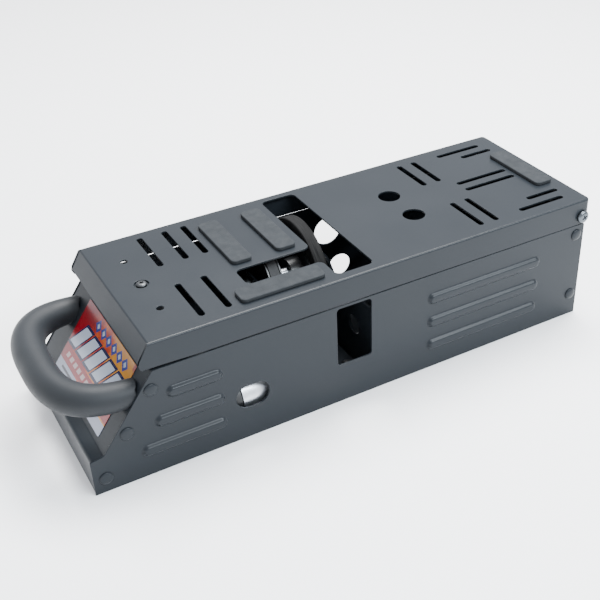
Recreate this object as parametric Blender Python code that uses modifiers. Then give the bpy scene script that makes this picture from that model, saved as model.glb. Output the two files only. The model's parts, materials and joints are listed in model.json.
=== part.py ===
"""Starter box for model cars: a folded sheet-metal case with a hinged top plate.

The top plate rocks down on two pivot screws at its rear end and closes a small switch at its
front end. A motor then turns the starting wheel, which stands up through the plate's opening,
by a toothed belt. Frame: +X along the case with the handle at -X, +Z up, origin at the middle
of the case's underside.
"""

import math

import bmesh
import bpy
from mathutils import Matrix, Vector

MM = 0.001
GAP = 0.3 * MM
SEAT_GAP = 0.15 * MM
SHEET = 1.2 * MM
SCREW_HOLE = 1.9 * MM
M4_SHANK = 2.0 * MM
M4_HOLE = 2.3 * MM
M4_FLATS = 7.0 * MM
M4_NUT_HEIGHT = 3.2 * MM

# Case
BASE_HALF_LENGTH = 164.0 * MM
HALF_WIDTH = 55.0 * MM
WALL_TOP = 66.9 * MM
REAR_TOP = 68.0 * MM
REAR_FLANGE_LOW = 65.5 * MM
LIP_TOP = 22.6 * MM
LEDGE_INNER = (-156.2 * MM, 23.8 * MM)
SLANT_TOP = (-124.9 * MM, 66.0 * MM)
SLANT_ANGLE = math.radians(53.4)
PANEL_RECESS = 0.4 * MM
TAB_OUTER = HALF_WIDTH - SHEET - GAP
FLANGE_END = -95.0 * MM

# Top plate
LID_TOP = 83.7 * MM
LID_FRONT = -124.3 * MM
LID_REAR = 166.7 * MM
LID_NOSE = (-130.8 * MM, 73.0 * MM)
LID_CLOSED_GAP = 0.15 * MM
LID_FRONT_GAP = 0.9 * MM
CORNER_TRIM = 1.1 * MM
CORNER_TRIM_END = -95.0 * MM
PIVOT = (161.0 * MM, 72.6 * MM)
SLOT_WIDTH = 3.6 * MM
OPENING_RADIUS = 3.8 * MM
PAD_SIZE = (51.0 * MM, 12.6 * MM, 2.2 * MM)
PAD_RADIUS = 3.0 * MM

# Handle
HANDLE_HALF_WIDTH = 46.0 * MM
HANDLE_REACH = 38.8 * MM
HANDLE_ROOT = (-131.6 * MM, 51.0 * MM)
HANDLE_RISE = 0.04
HANDLE_POWER = 2.9
ROD_RADIUS = 4.0 * MM
GRIP_ROOT_RADIUS = 7.5 * MM
GRIP_MIDDLE_RADIUS = 9.6 * MM
WEDGE_RADIUS = 6.0 * MM
WEDGE_BORE = 4.7 * MM

# Label
LABEL_SIZE = (75.0 * MM, 45.0 * MM)
LABEL_THICKNESS = 0.3 * MM
LABEL_TOP = 4.5 * MM
LABEL_MIDDLE = -3.7 * MM

# Drive
WHEEL_AXIS = (14.7 * MM, 51.7 * MM)
WHEEL_X = -1.8 * MM
WHEEL_RADIUS = 33.0 * MM
WHEEL_WIDTH = 7.4 * MM
HUB_RADIUS = 25.0 * MM
SHAFT_RADIUS = 3.0 * MM
BELT_PITCH = 3.0 * MM
DRIVEN_TEETH = 56
MOTOR_TEETH = 14
PULLEY_X = (-34.0 * MM, -25.0 * MM)
BELT_THICKNESS = 1.4 * MM
MOTOR_AXIS = (-37.0 * MM, 18.8 * MM)
MOTOR_RADIUS = 14.0 * MM
MOTOR_LENGTH = 36.0 * MM
MOTOR_BOSS = 4.6 * MM
MOTOR_SHAFT_RADIUS = 1.6 * MM
MOTOR_SCREW_PITCH = 16.0 * MM
BRACKET_SHEET = 1.5 * MM
BRACKET_FRONT = -37.4 * MM
BRACKET_REAR = 12.5 * MM
UPRIGHT_NEAR = -48.0 * MM
UPRIGHT_TOP = 52.5 * MM
UPRIGHT_HOLE = (-28.3 * MM, 30.3 * MM, 6.1 * MM)
BEARING_RADIUS = 6.5 * MM
BEARING_WIDTH = 5.0 * MM

# Lid screw and switch
LID_SCREW_X = -106.6 * MM
SEAT_FLOOR = 0.3 * MM
SEAT_DEPTH = 0.9 * MM
SPRING_RADIUS = 3.6 * MM
SPRING_WIRE = 0.5 * MM
SWITCH_AT = (-108.0 * MM, 22.0 * MM)
SWITCH_SIZE = (6.4 * MM, 20.0 * MM, 10.2 * MM)
SWITCH_PITCH = 13.0 * MM
M2_HOLE = 1.3 * MM

FINISHES = {
    "powder_coat": ((0.115, 0.125, 0.14), 0.45, 0.3),
    "black_plastic": ((0.02, 0.02, 0.022), 0.5, 0.0),
    "rubber": ((0.045, 0.046, 0.048), 0.85, 0.0),
    "pad_rubber": ((0.13, 0.135, 0.14), 0.9, 0.0),
    "foam": ((0.07, 0.075, 0.08), 0.8, 0.0),
    "zinc": ((0.55, 0.56, 0.58), 0.3, 1.0),
    "black_steel": ((0.03, 0.03, 0.033), 0.4, 0.8),
    "aluminium": ((0.6, 0.61, 0.62), 0.35, 1.0),
    "copper": ((0.55, 0.25, 0.12), 0.35, 1.0),
    "label": ((0.75, 0.25, 0.06), 0.4, 0.0),
    "red_wire": ((0.5, 0.02, 0.02), 0.5, 0.0),
    "black_wire": ((0.02, 0.02, 0.02), 0.5, 0.0),
}

STAND_UP = Matrix.Rotation(math.pi / 2, 4, "X")
SLANT_DOWN = Vector((-math.cos(SLANT_ANGLE), 0, -math.sin(SLANT_ANGLE)))
SLANT_OUT = Vector((-math.sin(SLANT_ANGLE), 0, math.cos(SLANT_ANGLE)))
LID_SWING = (LID_FRONT_GAP - LID_CLOSED_GAP) / (PIVOT[0] - LID_FRONT)


def clear_scene():
    """Start from an empty file."""
    for obj in list(bpy.data.objects):
        bpy.data.objects.remove(obj, do_unlink=True)


def make_collection(name):
    """New collection under the scene."""
    made = bpy.data.collections.new(name)
    bpy.context.scene.collection.children.link(made)
    return made


def rounded(points, radius, closed=True, arc_steps=3):
    """Outline with an arc in place of each corner; radius is one number or one for each corner."""
    outline = []
    count = len(points)
    for index, corner in enumerate(points):
        size = radius[index] if isinstance(radius, (list, tuple)) else radius
        end_point = not closed and index in (0, count - 1)
        if size == 0 or end_point:
            outline.append(tuple(corner))
            continue
        here = Vector(corner)
        back = (Vector(points[index - 1]) - here).normalized()
        ahead = (Vector(points[(index + 1) % count]) - here).normalized()
        half = math.acos(max(-1.0, min(1.0, back.dot(ahead)))) / 2
        centre = here + (back + ahead).normalized() * (size / math.sin(half))
        start = here + back * (size / math.tan(half)) - centre
        end = here + ahead * (size / math.tan(half)) - centre
        first = math.atan2(start.y, start.x)
        sweep = (math.atan2(end.y, end.x) - first + math.pi) % (2 * math.pi) - math.pi
        for step in range(arc_steps + 1):
            angle = first + sweep * step / arc_steps
            outline.append((centre.x + size * math.cos(angle), centre.y + size * math.sin(angle)))
    return outline


def circle(x, y, radius, count=16):
    """Closed round outline."""
    turn = 2 * math.pi / count
    return [(x + radius * math.cos(turn * i), y + radius * math.sin(turn * i)) for i in range(count)]


def rectangle(x_low, x_high, y_low, y_high, radius=0.0):
    """Closed rectangular outline with rounded corners."""
    corners = [(x_low, y_low), (x_high, y_low), (x_high, y_high), (x_low, y_high)]
    return rounded(corners, radius)


def slot(x_low, x_high, y_low, y_high, steps=5):
    """Obround outline that fills the given rectangle."""
    radius = min(x_high - x_low, y_high - y_low) / 2
    lengthwise = x_high - x_low > y_high - y_low
    ends = [((x_high - radius, y_high - radius), 0), ((x_low + radius, y_low + radius), math.pi)]
    outline = []
    for (x, y), heading in ends:
        start = heading - (math.pi / 2 if lengthwise else 0)
        for step in range(steps + 1):
            angle = start + math.pi * step / steps
            outline.append((x + radius * math.cos(angle), y + radius * math.sin(angle)))
    return outline


def add_object(name, mesh, group):
    """Object from a mesh, in a collection."""
    obj = bpy.data.objects.new(name, mesh)
    group.objects.link(obj)
    return obj


def weld(mesh):
    """Close a mesh's loose seams and turn its faces outward."""
    work = bmesh.new()
    work.from_mesh(mesh)
    bmesh.ops.remove_doubles(work, verts=work.verts, dist=0.000002)
    bmesh.ops.dissolve_limit(work, angle_limit=0.001, verts=work.verts, edges=work.edges)
    bmesh.ops.recalc_face_normals(work, faces=work.faces)
    work.to_mesh(mesh)
    work.free()


def as_mesh(source, group, place=None):
    """Mesh object in place of a curve object."""
    bpy.context.view_layer.update()
    shaped = source.evaluated_get(bpy.context.evaluated_depsgraph_get())
    mesh = bpy.data.meshes.new_from_object(shaped)
    name = source.name
    mesh.transform(source.matrix_world)
    if place is not None:
        mesh.transform(place)
    bpy.data.objects.remove(source, do_unlink=True)
    weld(mesh)
    return add_object(name, mesh, group)


def flat_curve(name, outlines, half_depth, filled, closed, group):
    """2D curve through straight outlines, extruded both ways."""
    curve = bpy.data.curves.new(name, "CURVE")
    curve.dimensions = "2D"
    curve.fill_mode = "BOTH" if filled else "NONE"
    curve.extrude = half_depth
    for outline in outlines:
        spline = curve.splines.new("POLY")
        spline.points.add(len(outline) - 1)
        for point, (x, y) in zip(spline.points, outline):
            point.co = (x, y, 0, 1)
        spline.use_cyclic_u = closed
    return add_object(name, curve, group)


def plate(name, outlines, thickness, place, group):
    """Flat sheet: the first outline is its edge, the others are holes; its mid-plane is local Z = 0."""
    return as_mesh(flat_curve(name, outlines, thickness / 2, True, True, group), group, place)


def ribbon(name, profile, width, thickness, place, group):
    """Folded sheet: an open profile drawn out across the width, with Solidify for its thickness."""
    source = flat_curve(name, [profile], width / 2, False, False, group)
    obj = as_mesh(source, group, place)
    shell = obj.modifiers.new("thickness", "SOLIDIFY")
    shell.thickness = thickness
    shell.offset = 0
    shell.use_even_offset = True
    return obj


def turned(name, profile, group, steps=16, closed=False):
    """Turned shape about local Z from (radius, height) points that run down the outer side."""
    mesh = bpy.data.meshes.new(name)
    work = bmesh.new()
    verts = [work.verts.new((radius, 0, height)) for radius, height in profile]
    for first, second in zip(verts, verts[1:]):
        work.edges.new((first, second))
    if closed:
        work.edges.new((verts[-1], verts[0]))
    work.to_mesh(mesh)
    work.free()
    obj = add_object(name, mesh, group)
    screw = obj.modifiers.new("turn", "SCREW")
    screw.steps = steps
    screw.render_steps = steps
    screw.use_merge_vertices = True
    screw.merge_threshold = 0.00001
    return obj


def drill(name, radius, reach, group, steps=16):
    """Cutter about local Z that reaches both ways."""
    return turned(name, [(0, reach), (radius, reach), (radius, -reach), (0, -reach)], group, steps)


def tube(name, points, radius, group, radii=None, resolution=2):
    """Round tube along a straight-segment path with filled caps."""
    curve = bpy.data.curves.new(name, "CURVE")
    curve.dimensions = "3D"
    curve.bevel_depth = radius
    curve.bevel_resolution = resolution
    curve.use_fill_caps = True
    spline = curve.splines.new("POLY")
    spline.points.add(len(points) - 1)
    for index, (point, place) in enumerate(zip(spline.points, points)):
        point.co = (*place, 1)
        point.radius = radii[index] / radius if radii else 1.0
    return add_object(name, curve, group)


def place_along(obj, axis, location):
    """Turn local Z to a world axis, such as -Y, and set the location."""
    turns = {
        "Z": (0, 0, 0),
        "-Z": (math.pi, 0, 0),
        "X": (0, math.pi / 2, 0),
        "-X": (0, -math.pi / 2, 0),
        "Y": (-math.pi / 2, 0, 0),
        "-Y": (math.pi / 2, 0, 0),
    }
    obj.rotation_euler = turns[axis]
    obj.location = location
    return obj


def boolean(target, tool, operation):
    """Cut with, or add, a helper object that isn't part of the model itself."""
    tool.hide_render = True
    tool.display_type = "WIRE"
    step = target.modifiers.new(tool.name, "BOOLEAN")
    step.operation = operation
    step.solver = "EXACT"
    step.object = tool


def finish(obj, kind):
    """Own material of the given kind, with smooth round faces."""
    colour, roughness, metallic = FINISHES[kind]
    surface = bpy.data.materials.new(obj.name)
    surface.use_nodes = True
    shader = surface.node_tree.nodes["Principled BSDF"]
    shader.inputs["Base Color"].default_value = (*colour, 1)
    shader.inputs["Roughness"].default_value = roughness
    shader.inputs["Metallic"].default_value = metallic
    obj.data.materials.append(surface)
    if obj.type == "MESH":
        obj.data.shade_smooth()
        obj.data.set_sharp_from_angle(angle=math.radians(35))
    return obj


def pivot_empty(name, location, group):
    """Empty on a joint's axis."""
    empty = bpy.data.objects.new(name, None)
    empty.empty_display_size = 0.01
    empty.location = location
    group.objects.link(empty)
    return empty


def hang(objects, empty):
    """Parent objects to an empty without moving them."""
    for obj in objects:
        obj.parent = empty
        obj.matrix_parent_inverse = Matrix.Translation(empty.location).inverted()


def on_slant(along, out):
    """Point on the slanted end, along mm down from its top edge and out mm off the walls' edge."""
    start = Vector((SLANT_TOP[0], 0, SLANT_TOP[1]))
    return start + SLANT_DOWN * along + SLANT_OUT * out


def slant_matrix(along, out, across):
    """Local XY on the slanted end: X to -Y, Y up the slope, Z outward."""
    turn = Matrix((
        (0, -SLANT_DOWN.x, SLANT_OUT.x),
        (-1, 0, 0),
        (0, -SLANT_DOWN.z, SLANT_OUT.z),
    )).to_4x4()
    spot = on_slant(along, out)
    spot.y = across
    return Matrix.Translation(spot) @ turn


def wall_matrix(side, depth):
    """Stand a flat plate up as a side wall whose mid-plane is depth inside the case's width."""
    return Matrix.Translation((0, side * (HALF_WIDTH - depth), 0)) @ STAND_UP


# ------------------------------------------------------------------ case

FRONT_RIVETS = [(-126.3 * MM, 55.6 * MM), (-142.2 * MM, 33.4 * MM), (-157.0 * MM, 9.4 * MM)]
REAR_RIVETS = [(157.9 * MM, 60.2 * MM), (158.4 * MM, 16.0 * MM)]
RIVET_HOLE = 1.9 * MM
RIVET_SHANK = 1.6 * MM
RIVET_HEAD = 3.8 * MM
RIVET_RISE = 1.3 * MM
RIVET_LENGTH = 3.2 * MM

LOUVRE_ROWS = [50.3 * MM, 33.8 * MM, 17.3 * MM]
LOUVRE_HEIGHT = 8.2 * MM
LOUVRE_PROUD = 2.0 * MM
FRONT_LOUVRE_STARTS = [-118.8 * MM, -127.0 * MM, -136.4 * MM]
FRONT_LOUVRE_END = -85.8 * MM
REAR_LOUVRE_END = 129.8 * MM
REAR_LOUVRE_START = {-1: 45.7 * MM, 1: 64.0 * MM}

BRACKET_SCREWS = [(-30 * MM, -44 * MM), (-30 * MM, 36 * MM), (5.5 * MM, -29 * MM), (5.5 * MM, 36 * MM)]


def wall_outline():
    """Side of the case seen square on, with its stepped and slanted front end."""
    corners = [
        (-BASE_HALF_LENGTH, 0.05 * MM),
        (BASE_HALF_LENGTH, 0.05 * MM),
        (BASE_HALF_LENGTH, WALL_TOP),
        (SLANT_TOP[0] + 0.7 * MM, WALL_TOP),
        LEDGE_INNER,
        (-BASE_HALF_LENGTH, LIP_TOP),
    ]
    return rounded(corners, [0, 0, 1 * MM, 1 * MM, 3 * MM, 0.8 * MM])


def wall_holes(side):
    """Rivet holes of both walls, and the cut-outs that differ from side to side."""
    holes = [circle(x, z, RIVET_HOLE, 12) for x, z in FRONT_RIVETS + REAR_RIVETS]
    if side < 0:
        holes.append(slot(-79.8 * MM, -59.4 * MM, 20.8 * MM, 35.9 * MM))
        holes.append(rectangle(-15.4 * MM, 7.2 * MM, 26.4 * MM, 65.2 * MM, 2 * MM))
    else:
        holes.append(circle(39.8 * MM, 46.4 * MM, 9.9 * MM))
        holes.append(circle(48.4 * MM, 17.1 * MM, 8.2 * MM))
    return holes


def louvre_spans(side):
    """(start, end, height) of each pressed louvre on a side."""
    spans = [(start, FRONT_LOUVRE_END, z) for start, z in zip(FRONT_LOUVRE_STARTS, LOUVRE_ROWS)]
    spans += [(REAR_LOUVRE_START[side], REAR_LOUVRE_END, z) for z in LOUVRE_ROWS]
    return spans


def make_base_shell(model, helpers):
    """Floor and both side walls, folded from one sheet, with pressed louvres."""
    floor_edge = rectangle(-BASE_HALF_LENGTH + 0.5 * MM, BASE_HALF_LENGTH - 0.5 * MM,
                           -HALF_WIDTH + SHEET / 2, HALF_WIDTH - SHEET / 2)
    holes = [circle(x, y, SCREW_HOLE, 12) for x, y in BRACKET_SCREWS]
    lift = Matrix.Translation((0, 0, SHEET / 2))
    shell = plate("base_shell", [floor_edge] + holes, SHEET, lift, model)
    for side in (-1, 1):
        wall = plate(f"wall_{side}", [wall_outline()] + wall_holes(side), SHEET,
                     wall_matrix(side, SHEET / 2), helpers)
        boolean(shell, wall, "UNION")
        depth = LOUVRE_PROUD + SHEET / 2
        for index, (start, end, z) in enumerate(louvre_spans(side)):
            edge = slot(start, end, z - LOUVRE_HEIGHT / 2, z + LOUVRE_HEIGHT / 2)
            rib = plate(f"louvre_{side}_{index}", [edge], depth,
                        wall_matrix(side, SHEET / 2 - depth / 2), helpers)
            boolean(shell, rib, "UNION")
    finish(shell, "powder_coat")


def make_front_panel(model, helpers):
    """Lip, ledge, slanted face and top flange in one fold, with a riveted tab at each side."""
    middle = -(PANEL_RECESS + SHEET / 2)
    top = on_slant(0, middle)
    foot_along = (top.z - (LIP_TOP + 0.2 * MM)) / math.sin(SLANT_ANGLE)
    foot = on_slant(foot_along, middle)
    lip_x = -BASE_HALF_LENGTH + PANEL_RECESS + SHEET / 2
    profile = [(lip_x, SHEET + GAP), (lip_x, LIP_TOP - 0.8 * MM), (foot.x, foot.z),
               (top.x, top.z), (FLANGE_END, top.z)]
    panel = ribbon("front_panel", rounded(profile, 1.6 * MM, closed=False),
                   2 * (TAB_OUTER - 0.2 * MM), SHEET, STAND_UP, model)
    tab = [(lip_x, 1.8 * MM), (lip_x, LIP_TOP - 1 * MM), (foot.x, foot.z), (top.x, top.z),
           (-112 * MM, top.z), (-112 * MM, 58 * MM), (-143 * MM, 18 * MM), (-143 * MM, 1.8 * MM)]
    holes = [circle(x, z, RIVET_HOLE, 12) for x, z in FRONT_RIVETS]
    for side in (-1, 1):
        place = Matrix.Translation((0, side * (TAB_OUTER - SHEET / 2), 0)) @ STAND_UP
        boolean(panel, plate(f"front_tab_{side}", [tab] + holes, SHEET, place, helpers), "UNION")
        cut = drill(f"handle_drill_{side}", ROD_RADIUS + 0.4 * MM, 15 * MM, helpers)
        x, z = HANDLE_ROOT
        place_along(cut, "X", (x - 4 * MM, side * HANDLE_HALF_WIDTH, z + SEAT_GAP))
        boolean(panel, cut, "DIFFERENCE")
    cut = drill("lid_screw_drill", M4_HOLE, 4 * MM, helpers)
    boolean(panel, place_along(cut, "Z", (LID_SCREW_X, 0, top.z)), "DIFFERENCE")
    finish(panel, "powder_coat")


def make_rear_panel(model, helpers):
    """Rear end plate with side tabs that rise into the ears of the pivot screws."""
    outer = BASE_HALF_LENGTH - PANEL_RECESS
    reach = 2 * (TAB_OUTER - 0.2 * MM)
    edge = rectangle(-reach / 2, reach / 2, SHEET + GAP, REAR_TOP)
    place = Matrix.Translation((outer - SHEET / 2, 0, 0)) @ Matrix.Rotation(math.pi / 2, 4, "Z")
    panel = plate("rear_panel", [edge], SHEET, place @ STAND_UP, model)
    ear = 3.8 * MM
    tab = [(146 * MM, 1.8 * MM), (outer - SHEET / 2, 1.8 * MM), (outer - SHEET / 2, 64 * MM),
           (PIVOT[0] + ear, 68 * MM), (PIVOT[0] + ear, PIVOT[1] + ear),
           (PIVOT[0] - ear, PIVOT[1] + ear), (146 * MM, 62 * MM)]
    radii = [0, 0, 0, 1 * MM, 3.4 * MM, 3.4 * MM, 2 * MM]
    holes = [circle(x, z, RIVET_HOLE, 12) for x, z in REAR_RIVETS]
    holes.append(circle(*PIVOT, M4_HOLE))
    for side in (-1, 1):
        place = Matrix.Translation((0, side * (TAB_OUTER - SHEET / 2), 0)) @ STAND_UP
        flap = plate(f"rear_tab_{side}", [rounded(tab, radii)] + holes, SHEET, place, helpers)
        boolean(panel, flap, "UNION")
    finish(panel, "powder_coat")


def make_rivets(model):
    """Domed blind rivets that hold the end panels to the side walls."""
    places = [("front", FRONT_RIVETS), ("rear", REAR_RIVETS)]
    for side, word in ((-1, "near"), (1, "far")):
        for end, spots in places:
            for index, (x, z) in enumerate(spots):
                dome = [(0, RIVET_RISE), (0.6 * RIVET_HEAD, 0.7 * RIVET_RISE), (RIVET_HEAD, 0.0),
                        (RIVET_SHANK, 0.0), (RIVET_SHANK, -RIVET_LENGTH), (0, -RIVET_LENGTH)]
                rivet = turned(f"rivet_{end}_{word}_{index + 1}", dome, model, steps=12)
                place_along(rivet, "Y" if side > 0 else "-Y",
                            (x, side * (HALF_WIDTH + SEAT_GAP), z))
                finish(rivet, "powder_coat")


# ------------------------------------------------------------------ top plate

def lid_holes():
    """Every through hole of the top plate, seen from above."""
    half = SLOT_WIDTH / 2
    holes = [circle(-106.7 * MM, y, 2.1 * MM, 12) for y in (-27.5 * MM, 27.5 * MM)]
    for x in (-90.2 * MM, -74.8 * MM, -62.7 * MM):
        holes.append(slot(x - half, x + half, 11.8 * MM, 48.1 * MM))
    for x in (-90.2 * MM, -74.8 * MM):
        holes.append(slot(x - half, x + half, -45.9 * MM, -10.1 * MM))
    for side in (-1, 1):
        holes.append(circle(62.7 * MM, side * 13.9 * MM, 6.9 * MM))
        for x in (90.2 * MM, 101.2 * MM):
            low, high = sorted((side * 14.1 * MM, side * 46.2 * MM))
            holes.append(slot(x - half, x + half, low, high))
        for y, start, end in ((4.7, 108.3, 146.3), (34.5, 133.1, 156.8), (43.8, 119.9, 153.5)):
            middle = side * y * MM
            holes.append(slot(start * MM, end * MM, middle - half, middle + half))
    opening = [(-9.4, 49.5), (13.2, 49.5), (13.2, -48.4), (-11.0, -48.4), (-11.0, -31.4),
               (-57.4, -31.4), (-57.4, -14.6), (-9.4, -14.6)]
    holes.append(rounded([(x * MM, y * MM) for x, y in opening], OPENING_RADIUS))
    return holes


def skirt_low(x):
    """Height of the skirt's lower edge: evenly above the wall once the plate is pressed, trimmed at the front."""
    trim = CORNER_TRIM * max(0.0, (CORNER_TRIM_END - x) / (CORNER_TRIM_END - LID_NOSE[0]))
    return WALL_TOP + LID_CLOSED_GAP + LID_SWING * (PIVOT[0] - x) + trim


def make_lid(model, helpers):
    """Top plate with its slots, side skirts, slanted front flange and rear flange."""
    edge = rounded([(LID_FRONT, -HALF_WIDTH), (LID_REAR, -HALF_WIDTH), (LID_REAR, HALF_WIDTH),
                    (LID_FRONT, HALF_WIDTH)], [0, 3 * MM, 3 * MM, 0])
    lift = Matrix.Translation((0, 0, LID_TOP - SHEET / 2))
    lid = plate("lid", [edge], SHEET, lift, model)
    inset = 0.03 * MM
    high = LID_TOP - 0.3 * MM
    rear = LID_REAR - 2 * MM
    skirt = [(LID_FRONT + 0.2 * MM, high), (LID_NOSE[0], LID_NOSE[1] - 2 * MM),
             (LID_NOSE[0] + 1 * MM, skirt_low(LID_NOSE[0])), (CORNER_TRIM_END, skirt_low(CORNER_TRIM_END)),
             (rear, skirt_low(rear)), (rear, high)]
    outline = rounded(skirt, [0, 1.6 * MM, 0.8 * MM, 0, 1 * MM, 0])
    hole = circle(*PIVOT, M4_HOLE)
    for side in (-1, 1):
        wall = plate(f"skirt_{side}", [outline, hole], SHEET,
                     wall_matrix(side, SHEET / 2 + inset), helpers)
        boolean(lid, wall, "UNION")
    nose = Vector((LID_NOSE[0] - LID_FRONT, 0, LID_NOSE[1] - LID_TOP))
    tilt = math.atan2(nose.z, nose.x)
    profile = [(0, 0), (nose.length, 0)]
    place = Matrix.Translation((LID_FRONT + 0.5 * MM, 0, LID_TOP - 0.6 * MM))
    place = place @ Matrix.Rotation(-tilt, 4, "Y") @ STAND_UP
    flange = ribbon("front_flange", profile, 2 * (HALF_WIDTH - 0.6 * MM), SHEET, place, helpers)
    boolean(lid, flange, "UNION")
    rear_edge = rectangle(-HALF_WIDTH + 2.5 * MM, HALF_WIDTH - 2.5 * MM, REAR_FLANGE_LOW, high)
    place = Matrix.Translation((LID_REAR - SHEET / 2 - inset, 0, 0))
    place = place @ Matrix.Rotation(math.pi / 2, 4, "Z") @ STAND_UP
    boolean(lid, plate("rear_flange", [rear_edge], SHEET, place, helpers), "UNION")
    boolean(lid, plate("lid_cuts", lid_holes(), 6 * MM, lift, helpers), "DIFFERENCE")
    underside = (LID_SCREW_X, 0, LID_TOP - SHEET)
    seat = turned("screw_seat", [(0, SEAT_FLOOR), (6.2 * MM, SEAT_FLOOR), (6.2 * MM, -SEAT_DEPTH),
                  (0, -SEAT_DEPTH)], helpers)
    boolean(lid, place_along(seat, "Z", underside), "UNION")
    stepped = turned("screw_drill", [(0, 4 * MM), (4.2 * MM, 4 * MM), (4.2 * MM, SEAT_FLOOR),
                     (M4_HOLE, SEAT_FLOOR), (M4_HOLE, -4 * MM), (0, -4 * MM)], helpers)
    boolean(lid, place_along(stepped, "Z", underside), "DIFFERENCE")
    close_seams = lid.modifiers.new("close_seams", "WELD")
    close_seams.merge_threshold = 0.00001
    return finish(lid, "powder_coat")


PADS = {
    "pad_front": ((-49.6 * MM, 15.8 * MM), False),
    "pad_middle": ((-21.7 * MM, 15.8 * MM), False),
    "pad_side": ((-42.6 * MM, -41.6 * MM), True),
    "pad_rear": ((154.9 * MM, 0.0), False),
}


def make_pads(model):
    """Rubber rest pads glued on the top plate."""
    made = []
    length, width, height = PAD_SIZE
    for name, ((x, y), lengthwise) in PADS.items():
        half_x, half_y = (length / 2, width / 2) if lengthwise else (width / 2, length / 2)
        place = Matrix.Translation((x, y, LID_TOP + 0.1 * MM + height / 2))
        edge = rectangle(-half_x, half_x, -half_y, half_y, PAD_RADIUS)
        made.append(finish(plate(name, [edge], height, place, model), "pad_rubber"))
    return made


def pan_screw(name, head_radius, head_height, shank, length, model, steps=12):
    """Pan-head screw about local Z, head up, with the underside of its head at height 0."""
    profile = [(0, head_height), (head_radius * 0.6, head_height * 0.9),
               (head_radius, head_height * 0.35), (head_radius, 0), (shank, 0),
               (shank, -length), (0, -length)]
    return turned(name, profile, model, steps=steps)


def nut(name, flats, hole, thickness, place, model):
    """Hexagon nut about local Z."""
    corner = flats / math.sqrt(3)
    return plate(name, [circle(0, 0, corner, 6), circle(0, 0, hole, 12)], thickness, place, model)


def make_pivots(model):
    """Screw and nut at each rear corner, on which the top plate rocks."""
    for side, word in ((-1, "near"), (1, "far")):
        screw = pan_screw(f"pivot_screw_{word}", 4.1 * MM, 2.6 * MM, M4_SHANK, 8.6 * MM, model, 16)
        place_along(screw, "Y" if side > 0 else "-Y",
                    (PIVOT[0], side * (HALF_WIDTH + SEAT_GAP), PIVOT[1]))
        finish(screw, "black_steel")
        depth = TAB_OUTER - SHEET - SEAT_GAP - M4_NUT_HEIGHT / 2
        place = Matrix.Translation((PIVOT[0], side * depth, PIVOT[1])) @ STAND_UP
        holder = nut(f"pivot_nut_{word}", M4_FLATS, M4_HOLE, M4_NUT_HEIGHT, place, model)
        finish(holder, "zinc")


def make_lid_screw(model):
    """Screw that holds the plate's front end down, its nut, and the return spring round it."""
    seat = LID_TOP - SHEET + SEAT_FLOOR
    flange_top = SLANT_TOP[1] - PANEL_RECESS * math.cos(SLANT_ANGLE)
    reach = seat - flange_top + SHEET + M4_NUT_HEIGHT + 1 * MM
    screw = pan_screw("lid_screw", 3.5 * MM, 1.7 * MM, M4_SHANK, reach, model, 16)
    finish(place_along(screw, "Z", (LID_SCREW_X, 0, seat + SEAT_GAP)), "zinc")
    height = flange_top - SHEET - GAP - M4_NUT_HEIGHT / 2
    place = Matrix.Translation((LID_SCREW_X, 0, height))
    finish(nut("lid_nut", M4_FLATS, M4_HOLE, M4_NUT_HEIGHT, place, model), "zinc")
    low = flange_top + GAP + SPRING_WIRE
    high = LID_TOP - SHEET - SEAT_DEPTH - GAP - SPRING_WIRE
    per_turn = 9
    steps = 5 * per_turn
    points = []
    for step in range(steps + 1):
        angle = 2 * math.pi * step / per_turn
        points.append((LID_SCREW_X + SPRING_RADIUS * math.cos(angle),
                       SPRING_RADIUS * math.sin(angle), low + (high - low) * step / steps))
    finish(tube("lid_spring", points, SPRING_WIRE, model, resolution=1), "zinc")


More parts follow.
